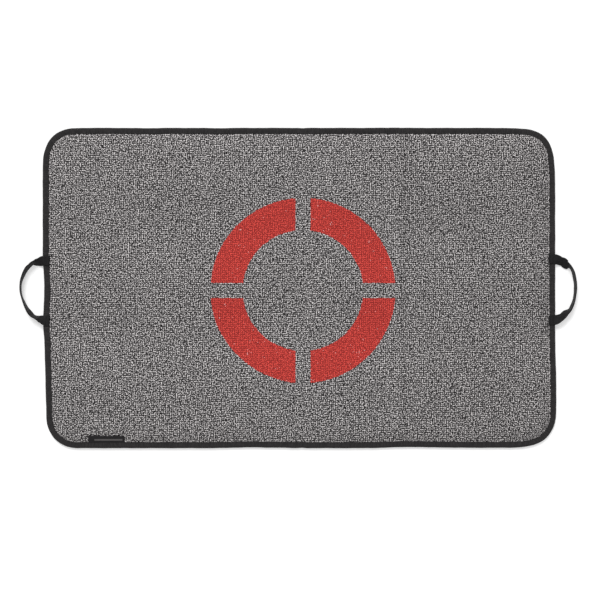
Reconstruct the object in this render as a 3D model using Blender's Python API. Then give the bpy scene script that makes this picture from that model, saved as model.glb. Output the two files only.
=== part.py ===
# A slim bouldering pad, lying open on the ground with its carpet face up.
#
# Metres, +Z up. X runs along the pad, Y across it, and the origin is the middle of its underside.
# Two foam panels lie end to end under one carpet face and over one ground fabric, and a tape
# binds the layers together all round. The pad folds at its middle, carpet to carpet, so each
# layer is cut there into a left and a right half. A webbing loop at each short end swings up.

import math

import bmesh
import bpy
from mathutils import Vector

# Outline of the pad, over the outside of its binding
PAD_LENGTH = 1.022
PAD_WIDTH = 0.640
CORNER_RADIUS = 0.063
INNER_CORNER_RADIUS = 0.030  # the padding's contour lines turn no tighter than this

# Layers, from the ground up
GROUND_FABRIC_THICKNESS = 0.0010
FOAM_THICKNESS = 0.0150
CARPET_THICKNESS = 0.0034

# What the seam squeezes the soft layers to, inside the binding
FOAM_PRESSED = 0.0030
CARPET_PRESSED = 0.0024

# Binding tape, folded round the rim
TAPE_THICKNESS = 0.0010
TAPE_FACE = 0.0110  # how far each leaf of the tape reaches in from the edge

# Form of the padded face
SHOULDER_WIDTH = 0.038  # from the tape's inner edge to full thickness
PRESSED_WIDTH = 0.010  # how far in from the tape the pile stays squeezed
CROWN_RISE = 0.0008
CROWN_WIDTH = 0.110
GROUND_STEP = 0.0030  # the ground fabric comes down off the tape over this width

# Fold across the middle
FOLD_GAP = 0.0004
FOLD_AIR = 0.0005  # from the crown up to the line that the pad folds about

# Carry loops
WEBBING_WIDTH = 0.0200
WEBBING_THICKNESS = 0.0022
LOOP_SPACING = 0.120  # between the middles of a loop's two ends
LOOP_REACH = 0.0420  # from the line that a loop swings about to the webbing's middle
LOOP_HINGE_OFFSET = 0.0012  # that line stands this far outside the pad's edge
LOOP_FRONT_SHIFT = 0.0036  # the loops are sewn this far in front of the pad's middle
LOOP_GROUND_AIR = 0.0003
LOOP_TWIST = math.radians(84)  # the webbing stands nearly on edge where the hand holds it
STRAP_END_LENGTH = 0.0130  # sewn down over the tape, in from the pad's edge

# Woven tag beside the front binding
LABEL_LENGTH = 0.072
LABEL_DEPTH = 0.0120
LABEL_THICKNESS = 0.0006
LABEL_FROM_CORNER = 0.025  # along the straight edge, from where the corner's curve ends

CLEARANCE = 0.0003  # between pieces that lie on each other

# Shares of a width at which the padded face has a ring of points
SHOULDER_SHARES = (0.06, 0.15, 0.28, 0.45, 0.68, 1.0)
CROWN_SHARES = (0.3, 0.65, 1.0)
LOOP_TWIST_SHARE = 0.42  # of the way round to a loop's middle, in which the webbing turns on edge

CORNER_STEPS = 10
RIM_STEPS = 8
LOOP_STEPS = 44

# Heights of the layers, inside the binding and on the flat of the pad
TAPE_AND_GAP = TAPE_THICKNESS + CLEARANCE
GROUND_AND_GAP = GROUND_FABRIC_THICKNESS + CLEARANCE
RIM_FOAM_BOTTOM = TAPE_AND_GAP + GROUND_AND_GAP
RIM_CARPET_TOP = RIM_FOAM_BOTTOM + FOAM_PRESSED + CLEARANCE + CARPET_PRESSED
RIM_HEIGHT = RIM_CARPET_TOP + TAPE_AND_GAP
PAD_HEIGHT = GROUND_AND_GAP + FOAM_THICKNESS + CLEARANCE + CARPET_THICKNESS
FOLD_HEIGHT = PAD_HEIGHT + CROWN_RISE + FOLD_AIR

# Insets from the pad's edge
SEAM_INSET = RIM_HEIGHT / 2  # the layers' cut edges, inside the tape
GROUND_INSET = TAPE_FACE + GROUND_STEP
FLAT_INSET = TAPE_FACE + SHOULDER_WIDTH

# Line that each loop swings about, level with the top of its sewn ends
STRAP_BOTTOM = RIM_HEIGHT + CLEARANCE
LOOP_HINGE_HEIGHT = STRAP_BOTTOM + WEBBING_THICKNESS + CLEARANCE / 2
LOOP_HINGE_X = PAD_LENGTH / 2 + LOOP_HINGE_OFFSET

CARPET_COLOUR = (0.19, 0.18, 0.18, 1.0)
TAPE_COLOUR = (0.030, 0.028, 0.029, 1.0)
WEBBING_COLOUR = (0.018, 0.017, 0.018, 1.0)
GROUND_COLOUR = (0.035, 0.036, 0.038, 1.0)
FOAM_COLOUR = (0.09, 0.09, 0.10, 1.0)
LABEL_COLOUR = (0.022, 0.021, 0.022, 1.0)


def material(name, colour, roughness):
    made = bpy.data.materials.new(name)
    made.use_nodes = True
    made.diffuse_color = colour
    shader = made.node_tree.nodes["Principled BSDF"]
    shader.inputs["Base Color"].default_value = colour
    shader.inputs["Roughness"].default_value = roughness
    shader.inputs["Metallic"].default_value = 0.0
    return made


def pivot(name, place, parent=None):
    """An empty on a joint's axis. The pieces of the moving body hang from it."""
    made = bpy.data.objects.new(name, None)
    bpy.context.scene.collection.objects.link(made)
    made.parent = parent
    made.location = place - (parent.location if parent else Vector())
    return made


def finish(name, shape, look, axis=None, place=Vector()):
    """Turns a shape drawn in the pad's frame into a named object that hangs from a joint's axis."""
    bmesh.ops.recalc_face_normals(shape, faces=shape.faces)
    bmesh.ops.translate(shape, verts=shape.verts, vec=-place)
    mesh = bpy.data.meshes.new(name)
    shape.to_mesh(mesh)
    shape.free()
    mesh.materials.append(look)
    mesh.shade_smooth()
    mesh.set_sharp_from_angle(angle=math.radians(40))
    made = bpy.data.objects.new(name, mesh)
    bpy.context.scene.collection.objects.link(made)
    made.parent = axis


def level_rise(share):
    """A smooth rise from 0 to 1 that starts and ends level."""
    share = min(max(share, 0.0), 1.0)
    return share * share * (3 - 2 * share)


def rounded_rise(share):
    """A rise from 0 to 1 that starts steep and ends level, as padding does beside a seam."""
    share = min(max(share, 0.0), 1.0)
    return 1 - (1 - share) ** 2


def carpet_top(inset):
    """Height of the carpet's face at a distance in from the pad's edge."""
    shoulder = rounded_rise((inset - TAPE_FACE) / SHOULDER_WIDTH)
    crown = rounded_rise((inset - FLAT_INSET) / CROWN_WIDTH)
    return RIM_CARPET_TOP + (PAD_HEIGHT - RIM_CARPET_TOP) * shoulder + CROWN_RISE * crown


def carpet_underside(inset):
    full = level_rise((inset - TAPE_FACE) / PRESSED_WIDTH)
    thickness = CARPET_PRESSED + (CARPET_THICKNESS - CARPET_PRESSED) * full
    return carpet_top(inset) - thickness


def ring_insets():
    """Insets of the padded face's rings of points, from the seam inwards."""
    shoulder = [TAPE_FACE + SHOULDER_WIDTH * share for share in SHOULDER_SHARES]
    crown = [FLAT_INSET + CROWN_WIDTH * share for share in CROWN_SHARES]
    return [SEAM_INSET, TAPE_FACE] + shoulder + crown


def half_outline(inset, side):
    """One half's outline at an inset: from the fold, round both corners, back to the fold."""
    fold_x = FOLD_GAP / 2
    far_x = PAD_LENGTH / 2 - inset
    far_y = PAD_WIDTH / 2 - inset
    radius = max(CORNER_RADIUS - inset, INNER_CORNER_RADIUS)
    points = [(side * fold_x, far_y)]
    for way, first in ((1, math.pi / 2), (-1, 0.0)):
        for step in range(CORNER_STEPS + 1):
            angle = first - math.pi / 2 * step / CORNER_STEPS
            x = far_x - radius + radius * math.cos(angle)
            y = way * (far_y - radius) + radius * math.sin(angle)
            points.append((side * x, y))
    points.append((side * fold_x, -far_y))
    return points


def rings_along(shape, profile, side):
    """A row of points along one half's outline for each (inset, height) of a profile."""
    rings = []
    for inset, height in profile:
        outline = half_outline(inset, side)
        rings.append([shape.verts.new((x, y, height)) for x, y in outline])
    return rings


def bridge(shape, first, second):
    for a, b, c, d in zip(first, first[1:], second[1:], second):
        shape.faces.new((a, b, c, d))


def half_layer(profile, side):
    """A layer that fills one half of the pad. Its profile goes from the middle of the face out to
    the rim, over it and back to the middle of the underside."""
    shape = bmesh.new()
    rings = rings_along(shape, profile, side)
    for first, second in zip(rings, rings[1:]):
        bridge(shape, first, second)
    shape.faces.new(rings[0])
    shape.faces.new(rings[-1])
    shape.faces.new([ring[0] for ring in rings] + [ring[-1] for ring in reversed(rings)])
    return shape


def half_band(section, side):
    """A closed section carried round one half's outline, with both its ends at the fold filled."""
    shape = bmesh.new()
    rings = rings_along(shape, section, side)
    for first, second in zip(rings, rings[1:] + rings[:1]):
        bridge(shape, first, second)
    shape.faces.new([ring[0] for ring in rings])
    shape.faces.new([ring[-1] for ring in rings])
    return shape


def webbing_section():
    """The webbing's section, as places across its width and through its thickness."""
    across = WEBBING_WIDTH / 2
    through = WEBBING_THICKNESS / 2
    eased = WEBBING_THICKNESS / 4
    corner = [(across - eased, through), (across, through - eased)]
    edge = corner + [(a, -t) for a, t in reversed(corner)]
    return edge + [(-a, -t) for a, t in edge]


def webbing(stations):
    """Webbing carried along stations, each a middle, a way across and a way through it."""
    shape = bmesh.new()
    rows = []
    for middle, across, through in stations:
        points = [middle + across * a + through * t for a, t in webbing_section()]
        rows.append([shape.verts.new(point) for point in points])
    for first, second in zip(rows, rows[1:]):
        bridge(shape, first + first[:1], second + second[:1])
    shape.faces.new(rows[0])
    shape.faces.new(rows[-1])
    return shape


def carpet_half(side):
    insets = ring_insets()
    face = [(inset, carpet_top(inset)) for inset in reversed(insets)]
    underside = [(inset, carpet_underside(inset)) for inset in insets]
    return half_layer(face + underside, side)


def foam_half(side):
    """A foam panel. The seam squeezes its rim to a thin lip inside the binding."""
    face = [(inset, carpet_underside(inset) - CLEARANCE) for inset in reversed(ring_insets())]
    underside = [
        (SEAM_INSET, RIM_FOAM_BOTTOM),
        (TAPE_FACE + CLEARANCE, RIM_FOAM_BOTTOM),
        (GROUND_INSET, GROUND_AND_GAP),
    ]
    return half_layer(face + underside, side)


def ground_fabric_half(side):
    """The ground fabric is flat on the ground, and its rim lies on the tape's lower leaf."""
    rim_top = TAPE_AND_GAP + GROUND_FABRIC_THICKNESS
    profile = [
        (GROUND_INSET, GROUND_FABRIC_THICKNESS),
        (TAPE_FACE + CLEARANCE, rim_top),
        (SEAM_INSET, rim_top),
        (SEAM_INSET, TAPE_AND_GAP),
        (TAPE_FACE + CLEARANCE, TAPE_AND_GAP),
        (GROUND_INSET, 0),
    ]
    return half_layer(profile, side)


def binding_half(side):
    """The binding tape: a leaf above, a leaf below and a round turn between them."""
    outer = RIM_HEIGHT / 2
    inner = outer - TAPE_THICKNESS
    turn = [math.pi * step / RIM_STEPS for step in range(RIM_STEPS + 1)]
    section = [(TAPE_FACE, RIM_HEIGHT)]
    section += [(outer - outer * math.sin(a), outer + outer * math.cos(a)) for a in turn]
    section += [(TAPE_FACE, 0), (TAPE_FACE, TAPE_THICKNESS)]
    section += [(outer - inner * math.sin(a), outer - inner * math.cos(a)) for a in turn]
    section += [(TAPE_FACE, RIM_HEIGHT - TAPE_THICKNESS)]
    return half_band(section, side)


def strap_end(side, way):
    """One end of a loop's webbing, sewn down over the binding and the first of the carpet."""
    y = way * LOOP_SPACING / 2 - LOOP_FRONT_SHIFT
    outside = CLEARANCE / 2 - LOOP_HINGE_OFFSET
    insets = [outside, TAPE_FACE] + [i for i in ring_insets() if TAPE_FACE < i < STRAP_END_LENGTH]
    stations = []
    for inset in insets + [STRAP_END_LENGTH]:
        rests_on = max(STRAP_BOTTOM, carpet_top(inset) + CLEARANCE)
        middle = Vector((side * (PAD_LENGTH / 2 - inset), y, rests_on + WEBBING_THICKNESS / 2))
        stations.append((middle, Vector((0, 1, 0)), Vector((0, 0, 1))))
    return webbing(stations)


def loop_station(side, share):
    """The webbing at a share of the way round a loop, from its back end to its front end."""
    start = math.asin(CLEARANCE / 2 / LOOP_REACH)
    angle = start + (math.pi - 2 * start) * share
    on_edge = level_rise(2 * min(share, 1 - share) / LOOP_TWIST_SHARE)
    flat_height = STRAP_BOTTOM + WEBBING_THICKNESS / 2
    edge_height = LOOP_GROUND_AIR + WEBBING_WIDTH / 2
    middle = Vector((
        side * (LOOP_HINGE_X + LOOP_REACH * math.sin(angle)),
        LOOP_SPACING / 2 * math.cos(angle) - LOOP_FRONT_SHIFT,
        flat_height + (edge_height - flat_height) * on_edge,
    ))
    along_x = side * LOOP_REACH * math.cos(angle)
    along_y = -LOOP_SPACING / 2 * math.sin(angle)
    along = Vector((along_x, along_y, 0)).normalized()
    outward = Vector((-along.y, along.x, 0)) * side
    twist = LOOP_TWIST * on_edge
    across = outward * math.cos(twist) + Vector((0, 0, 1)) * math.sin(twist)
    return middle, across, along.cross(across)


def carry_loop(side):
    """The free part of the webbing. It leaves the pad flat, and turns on edge for the hand."""
    return webbing([loop_station(side, step / LOOP_STEPS) for step in range(LOOP_STEPS + 1)])


def side_label():
    """A woven tag that lies on the shoulder beside the front binding, left of the middle."""
    near = TAPE_FACE + CLEARANCE
    far = near + LABEL_DEPTH
    insets = [near] + [inset for inset in ring_insets() if near < inset < far] + [far]
    under = [(inset - PAD_WIDTH / 2, carpet_top(inset) + CLEARANCE) for inset in insets]
    over = [(y, z + LABEL_THICKNESS) for y, z in reversed(under)]
    left = CORNER_RADIUS - PAD_LENGTH / 2 + LABEL_FROM_CORNER
    shape = bmesh.new()
    ends = [[shape.verts.new((x, y, z)) for y, z in under + over] for x in (left, left + LABEL_LENGTH)]
    bridge(shape, ends[0] + ends[0][:1], ends[1] + ends[1][:1])
    for end in ends:
        shape.faces.new(end)
    return shape


def build_half(word, side, looks, axis=None, place=Vector()):
    """All that lies on one side of the fold."""
    finish(f"ground_fabric_{word}", ground_fabric_half(side), looks["ground_fabric"], axis, place)
    finish(f"foam_{word}", foam_half(side), looks["foam"], axis, place)
    finish(f"carpet_{word}", carpet_half(side), looks["carpet"], axis, place)
    finish(f"binding_{word}", binding_half(side), looks["binding_tape"], axis, place)
    for end, way in (("back", 1), ("front", -1)):
        name = f"strap_end_{word}_{end}"
        finish(name, strap_end(side, way), looks["webbing"], axis, place)
    loop_place = Vector((side * LOOP_HINGE_X, -LOOP_FRONT_SHIFT, LOOP_HINGE_HEIGHT))
    loop_axis = pivot(f"loop_axis_{word}", loop_place, axis)
    finish(f"carry_loop_{word}", carry_loop(side), looks["webbing"], loop_axis, loop_place)


def build():
    for old in list(bpy.data.objects):
        bpy.data.objects.remove(old, do_unlink=True)
    looks = {
        "carpet": material("carpet", CARPET_COLOUR, 0.95),
        "binding_tape": material("binding_tape", TAPE_COLOUR, 0.80),
        "webbing": material("webbing", WEBBING_COLOUR, 0.75),
        "ground_fabric": material("ground_fabric", GROUND_COLOUR, 0.70),
        "foam": material("foam", FOAM_COLOUR, 0.90),
        "label": material("label", LABEL_COLOUR, 0.80),
    }
    build_half("left", -1, looks)
    fold_place = Vector((0, 0, FOLD_HEIGHT))
    build_half("right", 1, looks, pivot("fold_axis", fold_place), fold_place)
    finish("side_label", side_label(), looks["label"])


build()
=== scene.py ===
"""A slim bouldering pad lying open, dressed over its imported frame.

Metres, +Z up, as in the frame. X runs along the pad and Y across it. Each piece has an operator
of its own, and takes its sizes and colours from the scene's properties.
"""

import functools
import math

import bmesh
import bpy
import numpy as np
from bpy.props import FloatProperty, FloatVectorProperty, IntProperty, PointerProperty
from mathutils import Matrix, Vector


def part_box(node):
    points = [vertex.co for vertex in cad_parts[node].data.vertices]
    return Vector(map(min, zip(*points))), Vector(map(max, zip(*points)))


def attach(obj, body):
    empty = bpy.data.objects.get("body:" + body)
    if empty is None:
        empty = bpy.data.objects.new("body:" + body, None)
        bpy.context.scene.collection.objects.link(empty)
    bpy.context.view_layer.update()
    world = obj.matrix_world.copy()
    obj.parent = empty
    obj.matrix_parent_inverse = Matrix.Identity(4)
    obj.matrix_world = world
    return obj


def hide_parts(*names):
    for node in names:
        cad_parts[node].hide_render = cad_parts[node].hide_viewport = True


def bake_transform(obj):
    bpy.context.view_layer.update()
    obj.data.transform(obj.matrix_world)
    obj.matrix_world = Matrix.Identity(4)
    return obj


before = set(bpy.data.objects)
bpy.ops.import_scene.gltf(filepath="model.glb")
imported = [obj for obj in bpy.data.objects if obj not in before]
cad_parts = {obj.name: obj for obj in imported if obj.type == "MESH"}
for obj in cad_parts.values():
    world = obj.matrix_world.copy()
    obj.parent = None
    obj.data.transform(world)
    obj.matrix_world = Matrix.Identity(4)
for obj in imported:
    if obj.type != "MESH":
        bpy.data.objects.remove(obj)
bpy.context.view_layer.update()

bl_info = {
    "name": "Bouldering Pad",
    "version": (1, 0, 0),
    "blender": (4, 5, 0),
    "location": "View3D > Sidebar > Pad",
    "description": "Makes a slim folding bouldering pad, piece by piece, over its packed frame",
    "category": "Object",
}

REST_MAP = "Flat"
TUFT_TONE = "tuft_tone"
BLACK = (0.0, 0.0, 0.0)
TURN = 2 * math.pi


def space_of(*nodes):
    """Lowest and highest corner of the space that several nodes fill together."""
    corners = [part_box(node) for node in nodes]
    low = np.min([corner[0] for corner in corners], axis=0)
    high = np.max([corner[1] for corner in corners], axis=0)
    return Vector(low), Vector(high)


RIM_LOW, RIM_HIGH = space_of("binding_left", "binding_right")
CARPET_LOW, CARPET_HIGH = space_of("carpet_left", "carpet_right")
STRAP_LOW, STRAP_HIGH = space_of("strap_end_left_back", "strap_end_left_front")
TAG_LOW, TAG_HIGH = space_of("side_label")


# Properties

def length_property(name, default, description):
    return FloatProperty(
        name=name, description=description, default=default, min=0.0, unit="LENGTH", precision=5
    )


def share_property(name, default, description, high=1.0):
    return FloatProperty(name=name, description=description, default=default, min=0.0, max=high)


def colour_property(name, default, description):
    return FloatVectorProperty(
        name=name, description=description, default=default, subtype="COLOR", min=0.0, max=1.0
    )


class PadSizes(bpy.types.PropertyGroup):
    """Sizes of the padded body and of the layers in it."""

    length: length_property(
        "Length", RIM_HIGH.x - RIM_LOW.x, "Pad over its binding, from end to end"
    )
    width: length_property(
        "Width", RIM_HIGH.y - RIM_LOW.y, "Pad over its binding, from front to back"
    )
    corner_radius: length_property("Corner radius", 0.063, "Radius of the bound corners")
    tape_face: length_property("Tape face", 0.0124, "Reach of each leaf of the tape from the edge")
    tape_thickness: length_property("Tape thickness", 0.0010, "Thickness of the binding tape")
    rim_height: length_property("Rim height", RIM_HIGH.z, "Height of the bound edge")
    pressed_height: length_property(
        "Pressed height", 0.0083, "Height of the carpet where the seam presses it"
    )
    flat_height: length_property(
        "Flat height", 0.0200, "Height of the carpet where the flat begins"
    )
    shoulder_width: length_property(
        "Shoulder width", 0.038, "From the tape's inner edge to full thickness"
    )
    crown_rise: length_property(
        "Crown rise", CARPET_HIGH.z - 0.0200, "Rise of the flat towards its middle"
    )
    crown_width: length_property("Crown width", 0.110, "Width over which the flat rises")
    carpet_thickness: length_property("Carpet thickness", 0.0034, "Carpet with its pile standing")
    carpet_pressed: length_property("Carpet pressed", 0.0024, "Carpet squeezed by the seam")
    pressed_width: length_property(
        "Pressed width", 0.010, "How far in from the tape the pile stays squeezed"
    )
    ground_thickness: length_property("Ground cloth thickness", 0.0010, "Coated ground cloth")
    ground_step: length_property(
        "Ground step", 0.0030, "Width over which the ground cloth comes down off the tape"
    )
    clearance: length_property("Clearance", 0.0003, "Gap between layers that lie on each other")
    ripple: length_property("Ripple", 0.0005, "Most that the carpet waves up or down")
    settling: length_property("Settling", 0.0006, "Most that the cloth trial may move the carpet")
    bend_width: length_property(
        "Bend width", 0.022, "Half of the width that the fold bends the layers over"
    )
    bend_height: length_property("Bend height", 0.0213, "Height of the line it folds about")
    mesh_step: length_property("Mesh step", 0.0052, "Spacing of the carpet's points")
    fold_step: length_property("Fold step", 0.0026, "Spacing of points near the fold")


class PileSizes(bpy.types.PropertyGroup):
    """Sizes of the carpet's loops and of the printed ring."""

    loop_pitch: length_property("Loop pitch", 0.0050, "Distance along a row between two loops")
    row_pitch: length_property("Row pitch", 0.0040, "Distance between two rows of loops")
    rib_pitch: length_property("Rib pitch", 0.0040, "Distance between the ribs under the loops")
    yarn_grain: length_property("Yarn grain", 0.0025, "Size of the light and dark bits in the yarn")
    loop_depth: length_property("Loop depth", 0.0016, "Height of a loop over the gaps round it")
    ring_radius: length_property("Ring radius", 0.152, "Middle of the printed band")
    ring_band: length_property("Ring band", 0.064, "Width of the printed band")
    ring_gap: length_property("Ring gap", 0.030, "Gap between two of the ring's arcs")
    ring_x: length_property("Ring right", 0.007, "How far the ring lies right of the middle")
    ring_y: length_property("Ring front", 0.005, "How far the ring lies in front of the middle")
    tuft_pitch: length_property("Tuft pitch", 0.0024, "Distance between tufts along the tape")
    tuft_length: length_property("Tuft length", 0.0032, "Length of a tuft from end to end")
    tuft_radius: length_property("Tuft radius", 0.0007, "Radius of a tuft's yarn")
    tuft_scatter: length_property("Tuft scatter", 0.0008, "Most that a tuft lies off its line")
    tuft_inset: length_property("Tuft inset", 0.0023, "The tufts' line in from the tape's edge")
    tuft_depth: length_property("Tuft depth", 0.0008, "The tufts' line below the top of the rim")


class StrapSizes(bpy.types.PropertyGroup):
    """Sizes of the webbing and of its sewing."""

    width: length_property("Webbing width", 0.0200, "Width of the webbing")
    thickness: length_property("Webbing thickness", 0.0020, "Thickness of the webbing")
    root_height: length_property(
        "Root height", (STRAP_LOW.z + STRAP_HIGH.z) / 2, "Height of the sewn webbing's middle"
    )
    ground_air: length_property("Ground air", 0.0004, "Gap below the part that stands on edge")
    steps: IntProperty(
        name="Steps", description="Rows of points along a strap", default=150, min=20, max=400
    )
    tack_length: length_property("Tack length", 0.0165, "Length of a bar of dense stitches")
    tack_width: length_property("Tack width", 0.0026, "Width of a bar of dense stitches")
    tack_height: length_property("Tack height", 0.00115, "Bars over the middle of the webbing")
    outer_tack: length_property("Outer tack", 0.0056, "Outer bar's distance from the pad's edge")
    inner_tack: length_property("Inner tack", 0.0110, "Inner bar's distance from the pad's edge")


class ThreadSizes(bpy.types.PropertyGroup):
    """Sizes of the stitches."""

    seam_inset: length_property("Seam inset", 0.0086, "Binding seam's distance from the edge")
    seam_pitch: length_property("Seam pitch", 0.0042, "From one stitch of the seam to the next")
    seam_stitch: length_property("Seam stitch", 0.0034, "Length of a stitch of the seam")
    thread_radius: length_property("Thread radius", 0.00032, "Radius of the binding's thread")
    tack_pitch: length_property("Tack pitch", 0.00085, "Between two stitches of a bar tack")
    tack_thread: length_property("Tack thread", 0.00030, "Radius of the bar tacks' thread")
    tag_pitch: length_property("Tag pitch", 0.0024, "From one stitch of the tag to the next")
    tag_thread: length_property("Tag thread", 0.00018, "Radius of the tag's thread")


class TagSizes(bpy.types.PropertyGroup):
    """Sizes of the woven side tag."""

    left: FloatProperty(
        name="Left end", description="Where the tag starts along the pad",
        default=TAG_LOW.x - 0.0024,
        unit="LENGTH", precision=5,
    )
    length: length_property("Tag length", TAG_HIGH.x - TAG_LOW.x + 0.0010, "Length of the tag")
    inset: length_property("Tag inset", 0.0113, "The sewn side's distance from the pad's edge")
    depth: length_property("Tag depth", 0.0140, "How far the tag reaches in over the carpet")
    thickness: length_property("Tag thickness", 0.0006, "Thickness of the folded ribbon")
    wave: length_property("Tag wave", 0.0004, "How far the free side waves")
    field_inset: length_property("Field inset", 0.0120, "From the left end to the paler field")
    field_end: length_property("Field end", 0.0040, "From the paler field to the right end")
    field_middle: length_property("Field middle", 0.0068, "Field's middle from the sewn side")
    field_width: length_property("Field width", 0.0038, "Width of the paler field")
    stitch_inset: length_property("Stitch inset", 0.0024, "Sewn line's distance from a side")


class WeaveSizes(bpy.types.PropertyGroup):
    """Sizes of the weaves and of the foam's pores."""

    tape_rib: length_property("Tape rib", 0.00125, "Distance between two ribs of the tape")
    tape_yarn: length_property("Tape yarn", 0.0007, "Distance between two yarns in a rib")
    tape_turn: length_property("Tape turn", 0.0139, "Middle of the turn from the tape's edge")
    chevron_width: length_property("Chevron width", 0.0025, "Width of a chevron's arm")
    chevron_pitch: length_property("Chevron pitch", 0.0021, "Distance between two chevrons")
    ground_yarn: length_property("Ground yarn", 0.0011, "Distance between two yarns of the cloth")
    ground_square: length_property("Ground square", 0.004, "Size of the squares in the cloth")
    foam_pore: length_property("Foam pore", 0.0012, "Size of a pore of the foam")
    thread_twist: length_property("Thread twist", 0.0007, "Distance between two twists of thread")
    tag_rib: length_property("Tag rib", 0.00055, "Distance between two ribs of the tag")
    tag_tick: length_property("Tag tick", 0.0009, "Distance between two slanting ticks of the tag")


class PadColours(bpy.types.PropertyGroup):
    """Colours of every finish, as linear values."""

    # Painted shade between the loops, not a yarn colour.
    pile_gap_shade: colour_property("Pile gap", (0.012, 0.011, 0.0115), "Dark between the loops")
    pile_dark: colour_property("Dark yarn", (0.100, 0.094, 0.095), "Darkest yarn of the heather")
    pile_middle: colour_property("Middle yarn", (0.420, 0.398, 0.400), "Yarn of most loops")
    pile_bright: colour_property("Bright yarn", (0.93, 0.892, 0.884), "Brightest yarn")
    print_red: colour_property("Print red", (1.0, 0.110, 0.087), "Ink on top of the loops")
    # Painted shade of the print between the loops.
    print_gap_shade: colour_property("Print in the gaps", (0.320, 0.028, 0.026), "Ink between loops")
    tape: colour_property("Binding tape", (0.0205, 0.0192, 0.0198), "Woven tape")
    # Paler tape on its turn: partly wear, partly a painted highlight.
    tape_wear_and_highlight: colour_property("Worn tape", (0.036, 0.033, 0.032), "Tape where its turn rubs")
    tape_fuzz: colour_property("Tape fuzz", (0.052, 0.048, 0.048), "Loose fibres on the tape")
    tape_dull: colour_property("Dull tape", (0.018, 0.017, 0.018), "Tape where it took more dye")
    # Painted shade along both edges of the tape.
    tape_edge_shade: colour_property("Selvedge", (0.012, 0.011, 0.012), "Tape along both its edges")
    webbing: colour_property("Webbing", (0.0082, 0.0078, 0.0083), "Webbing of the carry loops")
    thread: colour_property("Thread", (0.022, 0.021, 0.022), "Thread of the binding's seam")
    tack_thread: colour_property("Tack thread", (0.0095, 0.0090, 0.0095), "Thread of the straps")
    ground: colour_property("Ground cloth", (0.030, 0.031, 0.033), "Coated cloth underneath")
    dust: colour_property("Dust", (0.075, 0.070, 0.064), "Dust on the ground cloth")
    specks: colour_property("Specks", (0.12, 0.115, 0.11), "Grit on the ground cloth")
    foam: colour_property("Foam", (0.070, 0.070, 0.075), "Foam inside")
    tag: colour_property("Tag", (0.0165, 0.0156, 0.0165), "Woven tag")
    tag_field: colour_property("Tag field", (0.120, 0.112, 0.112), "Paler field of the tag")
    floor: colour_property("Floor", (0.90, 0.90, 0.90), "Studio floor")


class StageSettings(bpy.types.PropertyGroup):
    """Camera and light."""

    lens: FloatProperty(name="Lens", description="Focal length", default=100.0, unit="CAMERA")
    view_span: length_property("View span", 1.200, "Width of floor that fills the picture")
    view_x: FloatProperty(
        name="View X", description="Place under the camera", default=0.0010, unit="LENGTH"
    )
    view_y: FloatProperty(
        name="View Y", description="Place under the camera", default=-0.0238, unit="LENGTH"
    )
    key_share: share_property("Key", 0.38, "Key light on a level white face, where 1 is white")
    fill_share: share_property("Fill", 0.62, "Even light from all round, where 1 is white")
    key_height: FloatProperty(
        name="Key height", description="Key light above the horizon", default=math.radians(50),
        subtype="ANGLE",
    )
    key_bearing: FloatProperty(
        name="Key bearing", description="Key light's turn from behind the pad to its left",
        default=math.radians(16), subtype="ANGLE",
    )
    key_spread: FloatProperty(
        name="Key spread", description="Angle that the key light fills", default=math.radians(24),
        subtype="ANGLE",
    )
    floor_glow: share_property("Floor glow", 0.32, "Light that the camera sees from the floor")


# Rules that every layer shares

def level_rise(share):
    """A smooth rise from 0 to 1 that starts and ends level."""
    share = np.clip(share, 0.0, 1.0)
    return share * share * (3 - 2 * share)


def rounded_rise(share):
    """A rise from 0 to 1 that starts steep and ends level, as padding does beside a seam."""
    share = np.clip(share, 0.0, 1.0)
    return 1 - (1 - share) ** 2


def hump(place, middle, spread):
    return np.exp(-(((place - middle) / spread) ** 2))


def humps(place, waves):
    """Several humps together, from rows of height, middle and spread."""
    return sum(height * hump(place, middle, spread) for height, middle, spread in waves)


def flat_inset(sizes):
    return sizes.tape_face + sizes.shoulder_width


def face_height(sizes, inset, x, y):
    """Height of the carpet's face before it ripples."""
    shoulder = rounded_rise((inset - sizes.tape_face) / sizes.shoulder_width)
    along = rounded_rise((sizes.length / 2 - np.abs(x) - flat_inset(sizes)) / sizes.crown_width)
    across = rounded_rise((sizes.width / 2 - np.abs(y) - flat_inset(sizes)) / sizes.crown_width)
    rise = (sizes.flat_height - sizes.pressed_height) * shoulder
    return sizes.pressed_height + rise + sizes.crown_rise * along * across


def carpet_depth(sizes, inset):
    """Thickness of the carpet, which the seam squeezes at the rim."""
    full = level_rise((inset - sizes.tape_face) / sizes.pressed_width)
    return sizes.carpet_pressed + (sizes.carpet_thickness - sizes.carpet_pressed) * full


# Hollows across the carpet where it was pressed: depth as a share of a wave, middle and spread.
HOLLOWS = ((-0.5, 0.207, 0.011), (-0.5, 0.252, 0.008))


def ripple(sizes, inset, x, y):
    """Slow waves of the carpet, none at the rim and little beside the fold."""
    across_wave, along_wave = 0.196, 0.290
    held_width, free_width = 0.016, 0.040
    fold_calm, fold_spread = 0.6, 0.05
    across = np.sin(TURN * (y + 0.045) / across_wave + 0.7 * np.sin(5.0 * x))
    along = np.sin(TURN * x / along_wave + 1.1 + 3.0 * y)
    free = level_rise((inset - held_width) / free_width)
    calm = 1 - fold_calm * hump(x, 0.0, fold_spread)
    waves = 0.5 * across + 0.2 * along + humps(x, HOLLOWS)
    return sizes.ripple * waves * free * calm


# Waves of the sewn outline: how far the edge moves, where along it, and how far that spreads.
LEFT_WAVES = ((0.0020, 0.006, 0.034), (-0.0018, -0.070, 0.030))
FRONT_WAVES = (
    (0.0016, -0.099, 0.045),
    (0.0023, 0.222, 0.056),
    (0.0008, 0.006, 0.007),
    (0.0008, -0.040, 0.018),
)
BACK_WAVES = (
    (-0.0006, -0.307, 0.030),
    (-0.0006, -0.163, 0.028),
    (-0.0008, 0.006, 0.007),
    (0.0003, 0.181, 0.030),
)

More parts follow.
